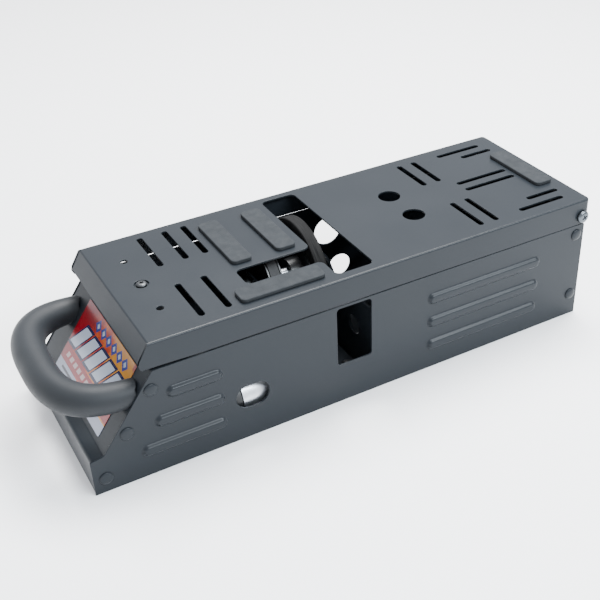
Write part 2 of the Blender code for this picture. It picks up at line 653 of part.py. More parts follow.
def make_switch(model, helpers):
    """Snap switch on its bracket under the plate's front end, with its plunger and screws."""
    x, y = SWITCH_AT
    depth, width, height = SWITCH_SIZE
    floor = SLANT_TOP[1] - PANEL_RECESS * math.cos(SLANT_ANGLE) + 2 * GAP
    edge = rectangle(-depth / 2, depth / 2, -width / 2, width / 2, 0.6 * MM)
    place = Matrix.Translation((x, y, floor + height / 2))
    body = plate("switch_body", [edge], height, place, model)
    pocket = rectangle(-1.1 * MM, 1.1 * MM, -1.7 * MM, 1.7 * MM)
    place = Matrix.Translation((x, y, floor + height - 4 * MM))
    boolean(body, plate("switch_pocket", [pocket], 9 * MM, place, helpers), "DIFFERENCE")
    screws = [("near", y - SWITCH_PITCH / 2), ("far", y + SWITCH_PITCH / 2)]
    screw_height = floor + 2.9 * MM
    for word, across in screws:
        cut = drill(f"switch_drill_{word}", M2_HOLE, 8 * MM, helpers, 12)
        boolean(body, place_along(cut, "X", (x, across, screw_height)), "DIFFERENCE")
    finish(body, "black_plastic")
    top = LID_TOP - SHEET - GAP
    low = floor + 4.4 * MM
    edge = rectangle(-0.8 * MM, 0.8 * MM, -1.4 * MM, 1.4 * MM, 0.4 * MM)
    place = Matrix.Translation((x, y, (top + low) / 2))
    plunger = finish(plate("switch_plunger", [edge], top - low, place, model), "red_wire")
    bracket_sheet = 1 * MM
    rear = x + depth / 2 + GAP + bracket_sheet / 2
    foot = floor - GAP + bracket_sheet / 2
    profile = [(rear + 7.5 * MM, foot), (rear, foot), (rear, floor + height - 1 * MM)]
    bend = rounded(profile, 1 * MM, closed=False)
    place = Matrix.Translation((0, y, 0)) @ STAND_UP
    bracket = ribbon("switch_bracket", bend, width, bracket_sheet, place, model)
    for word, across in screws:
        cut = drill(f"bracket_drill_{word}", M2_HOLE, 3 * MM, helpers, 12)
        boolean(bracket, place_along(cut, "X", (rear, across, screw_height)), "DIFFERENCE")
        screw = pan_screw(f"switch_screw_{word}", 2.0 * MM, 1.3 * MM, 1.0 * MM, 8.2 * MM, model)
        place_along(screw, "-X", (x - depth / 2 - SEAT_GAP, across, screw_height))
        finish(screw, "zinc")
    finish(bracket, "zinc")
    return plunger


# ------------------------------------------------------------------ handle and label

def handle_path(inward, steps=32):
    """(point, share) along the handle; share is 0 at its ends and 1 at its far side."""
    path = []
    x, z = HANDLE_ROOT
    lean = Vector((-math.cos(HANDLE_RISE), 0, math.sin(HANDLE_RISE)))
    power = 2 / HANDLE_POWER
    for step in range(steps + 1):
        angle = math.pi * step / steps
        out = HANDLE_REACH * abs(math.sin(angle)) ** power if 0 < step < steps else -inward
        across = HANDLE_HALF_WIDTH * math.copysign(abs(math.cos(angle)) ** power, math.cos(angle))
        spot = Vector((x, across, z)) + lean * out
        path.append((tuple(spot), max(0.0, out / HANDLE_REACH)))
    return path


def slant_block(name, out, helpers, inside=True):
    """Block whose face lies along the slanted end, out off the walls' edge."""
    size = 90 * MM
    place = slant_matrix(20 * MM, out + (-size / 2 if inside else size / 2), 0)
    return plate(name, [rectangle(-size, size, -size, size)], size, place, helpers)


def make_handle(model, helpers):
    """Bent steel rod with a foam grip, wedge washers and nuts behind the slanted end."""
    path = handle_path(13 * MM)
    points = [point for point, share in path]
    finish(tube("handle_rod", points, ROD_RADIUS, model), "zinc")
    swell = GRIP_MIDDLE_RADIUS - GRIP_ROOT_RADIUS
    radii = [GRIP_ROOT_RADIUS + swell * share for point, share in path]
    grip = as_mesh(tube("handle_grip", points, GRIP_ROOT_RADIUS, model, radii, resolution=3), model)
    bore_points = [point for point, share in handle_path(20 * MM)]
    bore = as_mesh(tube("grip_bore", bore_points, ROD_RADIUS + GAP, helpers), helpers)
    boolean(grip, bore, "DIFFERENCE")
    boolean(grip, slant_block("grip_end", 0.8 * MM, helpers), "DIFFERENCE")
    finish(grip, "foam")
    x, z = HANDLE_ROOT
    for side, word in ((-1, "near"), (1, "far")):
        wedge = turned(f"handle_wedge_{word}", [(WEDGE_RADIUS, 0), (WEDGE_RADIUS, -20 * MM),
                       (WEDGE_BORE, -20 * MM), (WEDGE_BORE, 0)], model, closed=True)
        place_along(wedge, "X", (x + 6.5 * MM, side * HANDLE_HALF_WIDTH, z - 0.1 * MM))
        block = slant_block(f"wedge_end_{word}", -(PANEL_RECESS + SHEET + GAP), helpers, False)
        boolean(wedge, block, "DIFFERENCE")
        finish(wedge, "aluminium")
        place = Matrix.Translation((x + 9.2 * MM, side * HANDLE_HALF_WIDTH, z - 0.4 * MM))
        place = place @ Matrix.Rotation(math.pi / 2, 4, "Y")
        holder = nut(f"handle_nut_{word}", 12 * MM, ROD_RADIUS + GAP, 4.6 * MM, place, model)
        finish(holder, "zinc")


def make_label(model):
    """Printed label on the slanted end."""
    width, height = LABEL_SIZE
    edge = rectangle(-width / 2, width / 2, -height / 2, height / 2, 1 * MM)
    place = slant_matrix(LABEL_TOP + height / 2, -PANEL_RECESS + 0.25 * MM, LABEL_MIDDLE)
    finish(plate("label", [edge], LABEL_THICKNESS, place, model), "label")


# ------------------------------------------------------------------ drive

def pulley(name, teeth, model, steps):
    """Flanged belt pulley about local Z, from height 0 to its width."""
    pitch_radius = teeth * BELT_PITCH / (2 * math.pi)
    land = pitch_radius - 0.4 * MM
    flange = pitch_radius + 1.3 * MM
    width = PULLEY_X[1] - PULLEY_X[0]
    rim = 1.1 * MM
    bore = GAP + (SHAFT_RADIUS if teeth == DRIVEN_TEETH else MOTOR_SHAFT_RADIUS)
    profile = [(flange, width), (flange, width - rim), (land, width - rim), (land, rim),
               (flange, rim), (flange, 0), (bore, 0), (bore, width)]
    return turned(name, profile, model, steps=steps, closed=True)


def belt_outline(offset):
    """Closed outline of the belt round both pulleys, offset from the pitch line, about the motor axis."""
    small = MOTOR_TEETH * BELT_PITCH / (2 * math.pi) + offset
    large = DRIVEN_TEETH * BELT_PITCH / (2 * math.pi) + offset
    shift = Vector((WHEEL_AXIS[0] - MOTOR_AXIS[0], WHEEL_AXIS[1] - MOTOR_AXIS[1]))
    heading = math.atan2(shift.y, shift.x)
    spread = math.acos((small - large) / shift.length)
    outline = []
    steps = 12
    for step in range(steps + 1):
        angle = heading + spread + (2 * math.pi - 2 * spread) * step / steps
        outline.append((small * math.cos(angle), small * math.sin(angle)))
    steps = 24
    for step in range(steps + 1):
        angle = heading - spread + 2 * spread * step / steps
        outline.append((shift.x + large * math.cos(angle), shift.y + large * math.sin(angle)))
    return outline


def make_belt(model):
    """Toothed belt, drawn as its plain band, clear of both pulleys."""
    middle = (PULLEY_X[0] + PULLEY_X[1]) / 2
    place = Matrix.Translation((middle, MOTOR_AXIS[0], MOTOR_AXIS[1]))
    place = place @ Matrix.Rotation(math.pi / 2, 4, "Z") @ STAND_UP
    inner = belt_outline(-0.1 * MM)
    outer = belt_outline(-0.1 * MM + BELT_THICKNESS)
    finish(plate("drive_belt", [outer, inner], 6.0 * MM, place, model), "rubber")


def make_wheel(model):
    """Rubber-tyred starting wheel, its hub, shaft and driven pulley."""
    y, z = WHEEL_AXIS
    half = WHEEL_WIDTH / 2
    inner = HUB_RADIUS + GAP
    tyre = turned("wheel_tyre", [(WHEEL_RADIUS - 1 * MM, half), (WHEEL_RADIUS, half - 0.8 * MM),
                  (WHEEL_RADIUS, -half + 0.8 * MM), (WHEEL_RADIUS - 1 * MM, -half),
                  (inner, -half), (inner, half)], model, steps=48, closed=True)
    finish(place_along(tyre, "X", (WHEEL_X, y, z)), "rubber")
    bore = SHAFT_RADIUS + GAP
    rim = half - 0.4 * MM
    web = 1.5 * MM
    hub = turned("wheel_hub", [(HUB_RADIUS, rim), (HUB_RADIUS, -rim), (20 * MM, -rim),
                 (19 * MM, -web), (9 * MM, -web), (8 * MM, -9 * MM), (bore, -9 * MM),
                 (bore, 7 * MM), (8 * MM, 7 * MM), (9 * MM, web), (19 * MM, web), (20 * MM, rim)],
                 model, steps=28, closed=True)
    finish(place_along(hub, "X", (WHEEL_X, y, z)), "aluminium")
    length = 60 * MM
    shaft = turned("wheel_shaft", [(0, length / 2), (SHAFT_RADIUS, length / 2),
                   (SHAFT_RADIUS, -length / 2), (0, -length / 2)], model)
    finish(place_along(shaft, "X", (-12.5 * MM, y, z)), "zinc")
    driven = pulley("driven_pulley", DRIVEN_TEETH, model, 36)
    finish(place_along(driven, "X", (PULLEY_X[0], y, z)), "aluminium")
    return [tyre, hub, shaft, driven]


def make_bearings(model):
    """Ball bearing of each upright."""
    y, z = WHEEL_AXIS
    half = BEARING_WIDTH / 2
    profile = [(BEARING_RADIUS, half), (BEARING_RADIUS, -half),
               (SHAFT_RADIUS + GAP, -half), (SHAFT_RADIUS + GAP, half)]
    for x, word in ((BRACKET_FRONT - 0.2 * MM, "front"), (BRACKET_REAR - 0.7 * MM, "rear")):
        ring = turned(f"bearing_{word}", profile, model, closed=True)
        finish(place_along(ring, "X", (x, y, z)), "zinc")


def make_bracket(model, helpers):
    """Folded frame that carries the motor and both wheel bearings."""
    low = SHEET + GAP + BRACKET_SHEET / 2
    front = BRACKET_FRONT + BRACKET_SHEET / 2
    rear = BRACKET_REAR - BRACKET_SHEET / 2
    span = [(front, low), (rear, low)]
    place = Matrix.Translation((0, -4.5 * MM, 0)) @ STAND_UP
    frame = ribbon("drive_bracket", span, 93 * MM, BRACKET_SHEET, place, model)
    y, z = WHEEL_AXIS
    stand = Matrix.Rotation(math.pi / 2, 4, "Z") @ STAND_UP
    motor_y, motor_z = MOTOR_AXIS
    edge = rounded([(UPRIGHT_NEAR, low), (41.9 * MM, low), (41.9 * MM, 20 * MM), (y + 11 * MM, z + 9 * MM),
                    (y - 11 * MM, z + 9 * MM), (y - 19 * MM, UPRIGHT_TOP), (UPRIGHT_NEAR, UPRIGHT_TOP)],
                   [0, 0, 4 * MM, 6 * MM, 6 * MM, 4 * MM, 3.5 * MM])
    bore = circle(y, z, BEARING_RADIUS + GAP)
    boss = circle(motor_y, motor_z, MOTOR_BOSS + 0.5 * MM)
    screws = [circle(motor_y, motor_z + side * MOTOR_SCREW_PITCH / 2, SCREW_HOLE, 12)
              for side in (-1, 1)]
    upright = plate("front_upright", [edge, bore, boss] + screws, BRACKET_SHEET,
                    Matrix.Translation((front, 0, 0)) @ stand, helpers)
    boolean(frame, upright, "UNION")
    upright = plate("rear_upright", [edge, bore, circle(*UPRIGHT_HOLE)], BRACKET_SHEET,
                    Matrix.Translation((rear, 0, 0)) @ stand, helpers)
    boolean(frame, upright, "UNION")
    for index, (x, across) in enumerate(BRACKET_SCREWS):
        cut = drill(f"foot_drill_{index}", SCREW_HOLE, 3 * MM, helpers, 12)
        boolean(frame, place_along(cut, "Z", (x, across, low)), "DIFFERENCE")
    finish(frame, "zinc")


def make_bracket_screws(model):
    """Screws that hold the drive frame to the floor."""
    top = SHEET + GAP + BRACKET_SHEET
    for index, (x, y) in enumerate(BRACKET_SCREWS):
        screw = pan_screw(f"bracket_screw_{index + 1}", 3.2 * MM, 2.0 * MM, 1.6 * MM, 2.7 * MM, model)
        finish(place_along(screw, "Z", (x, y, top + SEAT_GAP)), "zinc")


def make_motor(model):
    """Brushed can motor: can, end bell, armature, shaft with pulley, and mounting screws."""
    y, z = MOTOR_AXIS
    face = BRACKET_FRONT - GAP
    radius = MOTOR_RADIUS
    skin = 1.4 * MM
    length = MOTOR_LENGTH
    can = turned("motor_can", [(MOTOR_BOSS, 3.4 * MM), (MOTOR_BOSS, 0), (radius - 1 * MM, 0),
                 (radius, -1 * MM), (radius, -length), (radius - skin, -length),
                 (radius - skin, -skin), (3.4 * MM, -skin), (3.4 * MM, 3.4 * MM)],
                 model, steps=24, closed=True)
    finish(place_along(can, "X", (face, y, z)), "zinc")
    back = 6 * MM
    bore = MOTOR_SHAFT_RADIUS + GAP
    bell = turned("motor_endbell", [(radius - 0.3 * MM, -0.3 * MM), (radius - 0.3 * MM, -4 * MM),
                  (radius - 3 * MM, -back), (MOTOR_BOSS, -back), (MOTOR_BOSS, -back - 2 * MM),
                  (bore, -back - 2 * MM), (bore, -0.3 * MM)], model, steps=20, closed=True)
    finish(place_along(bell, "X", (face - length, y, z)), "black_plastic")
    core = turned("motor_armature", [(10.4 * MM, -8 * MM), (10.4 * MM, -25 * MM), (4.5 * MM, -25 * MM),
                  (4.5 * MM, -33 * MM), (bore, -33 * MM), (bore, -8 * MM)],
                  model, steps=20, closed=True)
    finish(place_along(core, "X", (face, y, z)), "copper")
    shaft = turned("motor_shaft", [(0, 14 * MM), (MOTOR_SHAFT_RADIUS, 14 * MM),
                   (MOTOR_SHAFT_RADIUS, -length - back), (0, -length - back)], model, steps=12)
    finish(place_along(shaft, "X", (face, y, z)), "zinc")
    driver = pulley("motor_pulley", MOTOR_TEETH, model, 20)
    finish(place_along(driver, "X", (PULLEY_X[0], y, z)), "aluminium")
    for side, word in ((-1, "low"), (1, "high")):
        screw = pan_screw(f"motor_screw_{word}", 2.2 * MM, 1.3 * MM, 1.2 * MM, 1.6 * MM, model)
        spot = (BRACKET_FRONT + BRACKET_SHEET + SEAT_GAP, y, z + side * MOTOR_SCREW_PITCH / 2)
        finish(place_along(screw, "X", spot), "zinc")
    return [core, shaft, driver]


# ------------------------------------------------------------------ wiring

LEAD_RADIUS = 1.2 * MM
PLUG_LOW = (33.0 * MM, 42.5 * MM, 1.7 * MM)
PLUG_HIGH = (53.0 * MM, 52.5 * MM, 9.7 * MM)
LEADS = {
    "lead_motor_switch": ("red_wire", [
        (-81, -44.5, 18.8), (-84.5, -44, 20), (-91, -38, 34), (-91.5, -24, 52), (-92, -9, 66),
        (-96, 0, 70.5), (-103, 5.5, 71.5), (-107, 8.2, 71.3), (-107.5, 11.2, 71.2)]),
    "lead_switch_plug": ("red_wire", [
        (-107.5, 32.8, 71), (-107, 35.4, 71), (-103, 38.5, 71), (-95, 40.5, 71), (-91, 42, 66),
        (-90.5, 47, 40), (-89, 49.5, 18), (-82, 50, 6), (-65, 50.2, 3.6), (-20, 50.2, 3.6),
        (15, 50, 3.8), (32.4, 49.2, 5.6)]),
    "lead_motor_plug": ("black_wire", [
        (-81, -29.5, 18.8), (-84.6, -29, 18), (-89, -18, 9), (-92, 6, 3.6), (-90, 31, 3.4),
        (-80, 43, 3.4), (-62, 46.6, 3.4), (-20, 46.6, 3.4), (15, 46.4, 3.6), (32.4, 45.8, 5.6)]),
}


def smooth_route(points, spacing=9 * MM):
    """Evenly close points on a smooth curve through a route's own points."""
    nodes = [Vector(point) * MM for point in points]
    nodes = [nodes[0] * 2 - nodes[1]] + nodes + [nodes[-1] * 2 - nodes[-2]]
    route = []
    for before, start, end, after in zip(nodes, nodes[1:], nodes[2:], nodes[3:]):
        steps = max(1, round((end - start).length / spacing))
        for step in range(steps):
            t = step / steps
            route.append(0.5 * (2 * start + (end - before) * t
                                + (2 * before - 5 * start + 4 * end - after) * t ** 2
                                + (3 * start - before - 3 * end + after) * t ** 3))
    route.append(nodes[-2])
    return [tuple(point) for point in route]


def make_wiring(model):
    """Leads between motor, switch and the battery plug, and the plug itself."""
    for name, (kind, points) in LEADS.items():
        finish(tube(name, smooth_route(points), LEAD_RADIUS, model, resolution=1), kind)
    (x_low, y_low, z_low), (x_high, y_high, z_high) = PLUG_LOW, PLUG_HIGH
    place = Matrix.Translation((0, 0, (z_low + z_high) / 2))
    edge = rectangle(x_low, x_high, y_low, y_high, 1 * MM)
    finish(plate("battery_plug", [edge], z_high - z_low, place, model), "black_plastic")


# ------------------------------------------------------------------ assembly

def build():
    """Make every part and hang the moving ones on their axes."""
    clear_scene()
    model = make_collection("starter_box")
    helpers = make_collection("cutters")
    make_base_shell(model, helpers)
    make_front_panel(model, helpers)
    make_rear_panel(model, helpers)
    make_rivets(model)
    lid = make_lid(model, helpers)
    pads = make_pads(model)
    make_pivots(model)
    make_lid_screw(model)
    plunger = make_switch(model, helpers)
    make_handle(model, helpers)
    make_label(model)
    make_belt(model)
    wheel = make_wheel(model)
    make_bearings(model)
    make_bracket(model, helpers)
    make_bracket_screws(model)
    rotor = make_motor(model)
    make_wiring(model)
    hang([lid] + pads, pivot_empty("lid_pivot", (PIVOT[0], 0, PIVOT[1]), model))
    hang(wheel, pivot_empty("wheel_axis", (WHEEL_X, *WHEEL_AXIS), model))
    hang(rotor, pivot_empty("motor_axis", (BRACKET_FRONT, *MOTOR_AXIS), model))
    hang([plunger], pivot_empty("switch_axis", (*SWITCH_AT, WALL_TOP), model))


build()
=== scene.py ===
"""Looks of the starter box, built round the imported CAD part."""

import json
import math

import bmesh
import bpy
from mathutils import Matrix, Vector


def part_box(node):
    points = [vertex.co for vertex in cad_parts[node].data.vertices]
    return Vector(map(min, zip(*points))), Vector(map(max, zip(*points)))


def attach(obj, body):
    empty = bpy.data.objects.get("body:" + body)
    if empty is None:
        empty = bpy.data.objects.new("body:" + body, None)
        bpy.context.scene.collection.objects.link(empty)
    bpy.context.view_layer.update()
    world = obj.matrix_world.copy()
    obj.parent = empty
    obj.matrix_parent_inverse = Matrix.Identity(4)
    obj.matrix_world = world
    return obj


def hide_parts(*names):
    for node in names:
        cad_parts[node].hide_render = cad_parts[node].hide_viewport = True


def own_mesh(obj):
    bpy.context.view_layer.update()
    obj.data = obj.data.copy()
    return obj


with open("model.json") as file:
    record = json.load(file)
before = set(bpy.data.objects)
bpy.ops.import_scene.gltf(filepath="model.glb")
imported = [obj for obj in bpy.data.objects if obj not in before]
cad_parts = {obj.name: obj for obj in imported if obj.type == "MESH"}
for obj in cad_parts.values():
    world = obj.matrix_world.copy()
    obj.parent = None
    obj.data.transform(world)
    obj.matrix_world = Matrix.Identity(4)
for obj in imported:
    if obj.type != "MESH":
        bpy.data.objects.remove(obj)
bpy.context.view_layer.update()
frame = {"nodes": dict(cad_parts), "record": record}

MM = 0.001
SHEET = 1.2 * MM
EDGE = 0.22 * MM
STAND_UP = Matrix.Rotation(math.pi / 2, 4, "X")
QUARTER_Z = Matrix.Rotation(math.pi / 2, 4, "Z")

# Case
HALF_LENGTH = 164.0 * MM
HALF_WIDTH = 55.0 * MM
WALL_TOP = 66.9 * MM
LIP_TOP = 22.6 * MM
REAR_TOP = 68.0 * MM
REAR_FLANGE_LOW = 65.5 * MM
LEDGE_INNER = (-156.2 * MM, 23.8 * MM)
SLANT_TOP = (-124.9 * MM, 66.0 * MM)
SLANT_ANGLE = math.radians(53.4)
PANEL_RECESS = 0.4 * MM
TAB_OUTER = HALF_WIDTH - SHEET - 0.3 * MM
FLANGE_END = -95.0 * MM
LOUVRE_ROWS = (50.3 * MM, 33.8 * MM, 17.3 * MM)
LOUVRE_HALF_HEIGHT = 4.1 * MM
LOUVRE_PROUD = 1.9 * MM
FRONT_LOUVRE_STARTS = (-118.8 * MM, -127.0 * MM, -136.4 * MM)
FRONT_LOUVRE_END = -85.8 * MM
REAR_LOUVRE_END = 129.8 * MM
REAR_LOUVRE_START = {-1: 45.7 * MM, 1: 64.0 * MM}
BRACKET_SCREWS = ((-30 * MM, -44 * MM), (-30 * MM, 36 * MM), (5.5 * MM, -29 * MM), (5.5 * MM, 36 * MM))
NEAR_PORT = (-79.8 * MM, -59.4 * MM, 20.8 * MM, 35.9 * MM)
NEAR_WINDOW = (-15.4 * MM, 7.2 * MM, 26.4 * MM, 65.2 * MM)
FAR_PORTS = ((39.8 * MM, 46.4 * MM, 9.9 * MM), (48.4 * MM, 17.1 * MM, 8.2 * MM))

# Top plate
LID_TOP = 83.7 * MM
LID_FRONT = -124.3 * MM
LID_REAR = 166.7 * MM
LID_NOSE = (-130.8 * MM, 73.0 * MM)
PIVOT = (161.0 * MM, 72.6 * MM)
LID_CLOSED_GAP = 0.15 * MM
LID_SWING = 0.00263
CORNER_TRIM = 1.1 * MM
CORNER_TRIM_END = -95.0 * MM
BEND = 1.3 * MM
SLOT_HALF = 1.8 * MM
LID_SCREW_X = -106.6 * MM

# Handle and label
HANDLE_HALF_WIDTH = 46.0 * MM
HANDLE_REACH = 38.8 * MM
HANDLE_ROOT = (-131.6 * MM, 51.0 * MM)
HANDLE_RISE = 0.04
HANDLE_POWER = 2.9
GRIP_ROOT_RADIUS = 7.45 * MM
GRIP_MIDDLE_RADIUS = 9.5 * MM
LABEL_WIDTH = 75.0 * MM
LABEL_HEIGHT = 45.0 * MM
LABEL_DROP = 4.5 * MM
LABEL_SHIFT = -3.7 * MM

# Drive
BELT_PITCH = 3.0 * MM
WHEEL_AXIS = (14.7 * MM, 51.7 * MM)
WHEEL_X = -1.8 * MM
WHEEL_RADIUS = 33.0 * MM
HUB_RADIUS = 25.0 * MM
WHEEL_HALF = 3.7 * MM
SHAFT_BORE = 3.3 * MM
PULLEY_X = (-34.0 * MM, -25.0 * MM)
MOTOR_AXIS = (-37.0 * MM, 18.8 * MM)
MOTOR_FACE = -37.7 * MM
MOTOR_RADIUS = 14.0 * MM
MOTOR_LENGTH = 36.0 * MM
MOTOR_BOSS = 4.6 * MM
BRACKET_FRONT = -37.4 * MM
BRACKET_REAR = 12.5 * MM
UPRIGHT_NEAR = -48.0 * MM
UPRIGHT_TOP = 52.5 * MM
UPRIGHT_HOLE = (-28.3 * MM, 30.3 * MM, 6.1 * MM)

SLANT_DOWN = Vector((-math.cos(SLANT_ANGLE), 0, -math.sin(SLANT_ANGLE)))
SLANT_OUT = Vector((-math.sin(SLANT_ANGLE), 0, math.cos(SLANT_ANGLE)))


# ------------------------------------------------------------------ outlines

def rounded(points, radius, closed=True, steps=8):
    """Outline with an arc in place of each corner."""
    outline = []
    count = len(points)
    for index, corner in enumerate(points):
        size = radius[index] if isinstance(radius, (list, tuple)) else radius
        if size == 0 or (not closed and index in (0, count - 1)):
            outline.append(tuple(corner))
            continue
        here = Vector(corner)
        back = (Vector(points[index - 1]) - here).normalized()
        ahead = (Vector(points[(index + 1) % count]) - here).normalized()
        half = math.acos(max(-1.0, min(1.0, back.dot(ahead)))) / 2
        centre = here + (back + ahead).normalized() * (size / math.sin(half))
        start = here + back * (size / math.tan(half)) - centre
        end = here + ahead * (size / math.tan(half)) - centre
        first = math.atan2(start.y, start.x)
        sweep = (math.atan2(end.y, end.x) - first + math.pi) % (2 * math.pi) - math.pi
        for step in range(steps + 1):
            angle = first + sweep * step / steps
            outline.append((centre.x + size * math.cos(angle), centre.y + size * math.sin(angle)))
    return outline


def circle(x, y, radius, count=56):
    """Round outline."""
    turn = 2 * math.pi / count
    return [(x + radius * math.cos(turn * i), y + radius * math.sin(turn * i)) for i in range(count)]


def rectangle(x_low, x_high, y_low, y_high, radius=0.0, steps=8):
    """Rectangular outline with rounded corners."""
    corners = [(x_low, y_low), (x_high, y_low), (x_high, y_high), (x_low, y_high)]
    return rounded(corners, radius, steps=steps)


def slot(x_low, x_high, y_low, y_high, steps=14):
    """Obround outline that fills a rectangle."""
    radius = min(x_high - x_low, y_high - y_low) / 2
    lengthwise = x_high - x_low > y_high - y_low
    ends = [((x_high - radius, y_high - radius), 0), ((x_low + radius, y_low + radius), math.pi)]
    outline = []
    for (x, y), heading in ends:
        start = heading - (math.pi / 2 if lengthwise else 0)
        for step in range(steps + 1):
            angle = start + math.pi * step / steps
            outline.append((x + radius * math.cos(angle), y + radius * math.sin(angle)))
    return outline


def offset(loop, distance):
    """Closed loop moved inward by a distance."""
    if abs(distance) < 1e-9:
        return list(loop)
    area = sum(a[0] * b[1] - b[0] * a[1] for a, b in zip(loop, loop[1:] + loop[:1]))
    side = 1 if area > 0 else -1
    moved = []
    count = len(loop)
    for index, (x, y) in enumerate(loop):
        before, after = loop[index - 1], loop[(index + 1) % count]
        first = Vector((x - before[0], y - before[1])).normalized()
        second = Vector((after[0] - x, after[1] - y)).normalized()
        normals = (Vector((-first.y, first.x)) * side, Vector((-second.y, second.x)) * side)
        mitre = (normals[0] + normals[1]) / max(0.4, 1 + normals[0].dot(normals[1]))
        moved.append((x + mitre.x * distance, y + mitre.y * distance))
    return moved


def thick_line(points, thickness):
    """Closed outline of an open line with a thickness."""
    sides = ([], [])
    for index, (x, y) in enumerate(points):
        before = points[max(0, index - 1)]
        after = points[min(len(points) - 1, index + 1)]
        first = Vector((x - before[0], y - before[1]))
        second = Vector((after[0] - x, after[1] - y))
        first = (first if first.length else second).normalized()
        second = (second if second.length else first).normalized()
        mitre = Vector((-first.y - second.y, first.x + second.x)) / (1 + first.dot(second))
        for side, sign in zip(sides, (1, -1)):
            side.append((x + mitre.x * sign * thickness / 2, y + mitre.y * sign * thickness / 2))
    return sides[0] + sides[1][::-1]


# ------------------------------------------------------------------ meshes

def new_object(name, work, place=None):
    """Object from a bmesh."""
    mesh = bpy.data.meshes.new(name)
    bmesh.ops.recalc_face_normals(work, faces=work.faces)
    work.to_mesh(mesh)
    work.free()
    if place is not None:
        mesh.transform(place)
    obj = bpy.data.objects.new(name, mesh)
    bpy.context.scene.collection.objects.link(obj)
    return obj


def bridge(work, first, second, closed=True):
    """Quads between two rings of the same count."""
    count = len(first)
    for index in range(count if closed else count - 1):
        after = (index + 1) % count
        corners = []
        for vert in (first[index], first[after], second[after], second[index]):
            if vert not in corners:
                corners.append(vert)
        if len(corners) > 2:
            work.faces.new(corners)


def sheet(name, outer, holes, thickness, place=None, edge=EDGE, outer_edge=True, steps=3):
    """Flat sheet with softened edges; its mid-plane is local Z = 0. It gets a UV map over its outline."""
    work = bmesh.new()
    half = thickness / 2
    top, bottom = [], []
    for loop, sign, size in [(outer, 1, edge if outer_edge else 0)] + [(h, -1, edge) for h in holes]:
        rows = [(0, half)]
        if size:
            turns = [math.pi / 2 * step / steps for step in range(steps + 1)]
            rows = [(size * (1 - math.sin(a)), half - size * (1 - math.cos(a))) for a in turns]
        rows += [(into, -z) for into, z in reversed(rows)]
        rings = [[work.verts.new((x, y, z)) for x, y in offset(loop, sign * into)] for into, z in rows]
        for first, second in zip(rings, rings[1:]):
            bridge(work, first, second)
        for ring, store in ((rings[0], top), (rings[-1], bottom)):
            store += [work.edges.get((a, b)) for a, b in zip(ring, ring[1:] + ring[:1])]
    bmesh.ops.triangle_fill(work, edges=top, use_beauty=True, normal=(0, 0, 1))
    bmesh.ops.triangle_fill(work, edges=bottom, use_beauty=True, normal=(0, 0, -1))
    xs, ys = [p[0] for p in outer], [p[1] for p in outer]
    layer = work.loops.layers.uv.new("UVMap")
    for face in work.faces:
        for corner in face.loops:
            x, y, _ = corner.vert.co
            corner[layer].uv = ((x - min(xs)) / (max(xs) - min(xs)), (y - min(ys)) / (max(ys) - min(ys)))
    return new_object(name, work, place)


def turned(name, profile, place=None, closed=False, steps=72):
    """Turned shape about local Z from (radius, height) points."""
    work = bmesh.new()
    rings = []
    for radius, height in profile:
        if radius < 1e-7:
            rings.append([work.verts.new((0, 0, height))] * steps)
        else:
            rings.append([work.verts.new((*p, height)) for p in circle(0, 0, radius, steps)])
    for first, second in zip(rings, rings[1:]):
        bridge(work, first, second)
    if closed:
        bridge(work, rings[-1], rings[0])
    return new_object(name, work, place)


def pulley_profile(radius, width, bore, rim=1.1 * MM, lip=1.7 * MM):
    """Closed section of a flanged pulley, from height 0 to its width."""
    land = radius - lip
    section = [(radius, width), (radius, width - rim), (land, width - rim), (land, rim),
               (radius, rim), (radius, 0), (bore, 0), (bore, width)]
    return rounded(section, 0.25 * MM, steps=2)


def along_x(x, y, z):
    """Matrix that turns local Z to +X."""
    return Matrix.Translation((x, y, z)) @ Matrix.Rotation(math.pi / 2, 4, "Y")


def outward(side, x, y, z):
    """Matrix that turns local Z to +Y or -Y."""
    return Matrix.Translation((x, y, z)) @ Matrix.Rotation(-side * math.pi / 2, 4, "X")


def join(name, objects):
    """One object from several."""
    work = bmesh.new()
    for obj in objects:
        work.from_mesh(obj.data)
        bpy.data.objects.remove(obj, do_unlink=True)
    mesh = bpy.data.meshes.new(name)
    work.to_mesh(mesh)
    work.free()
    joined = bpy.data.objects.new(name, mesh)
    bpy.context.scene.collection.objects.link(joined)
    return joined


def carve(obj, cutter):
    """obj with the cutter's volume taken away."""
    step = obj.modifiers.new("cut", "BOOLEAN")
    step.operation, step.solver, step.object = "DIFFERENCE", "EXACT", cutter
    bpy.context.view_layer.update()
    shaped = obj.evaluated_get(bpy.context.evaluated_depsgraph_get())
    mesh = bpy.data.meshes.new_from_object(shaped)
    obj.modifiers.clear()
    obj.data = mesh
    bpy.data.objects.remove(cutter, do_unlink=True)
    return obj


def wall_place(side, depth):
    """Stand a flat sheet up as a side wall, its mid-plane depth inside the case's width."""
    return Matrix.Translation((0, side * (HALF_WIDTH - depth), 0)) @ STAND_UP


def slant_place(along, out, across):
    """Local XY on the slanted end: X to -Y, Y up the slope, Z outward."""
    turn = Matrix(((0, -SLANT_DOWN.x, SLANT_OUT.x), (-1, 0, 0), (0, -SLANT_DOWN.z, SLANT_OUT.z))).to_4x4()
    spot = Vector((SLANT_TOP[0], across, SLANT_TOP[1])) + SLANT_DOWN * along + SLANT_OUT * out
    return Matrix.Translation(spot) @ turn


# ------------------------------------------------------------------ materials

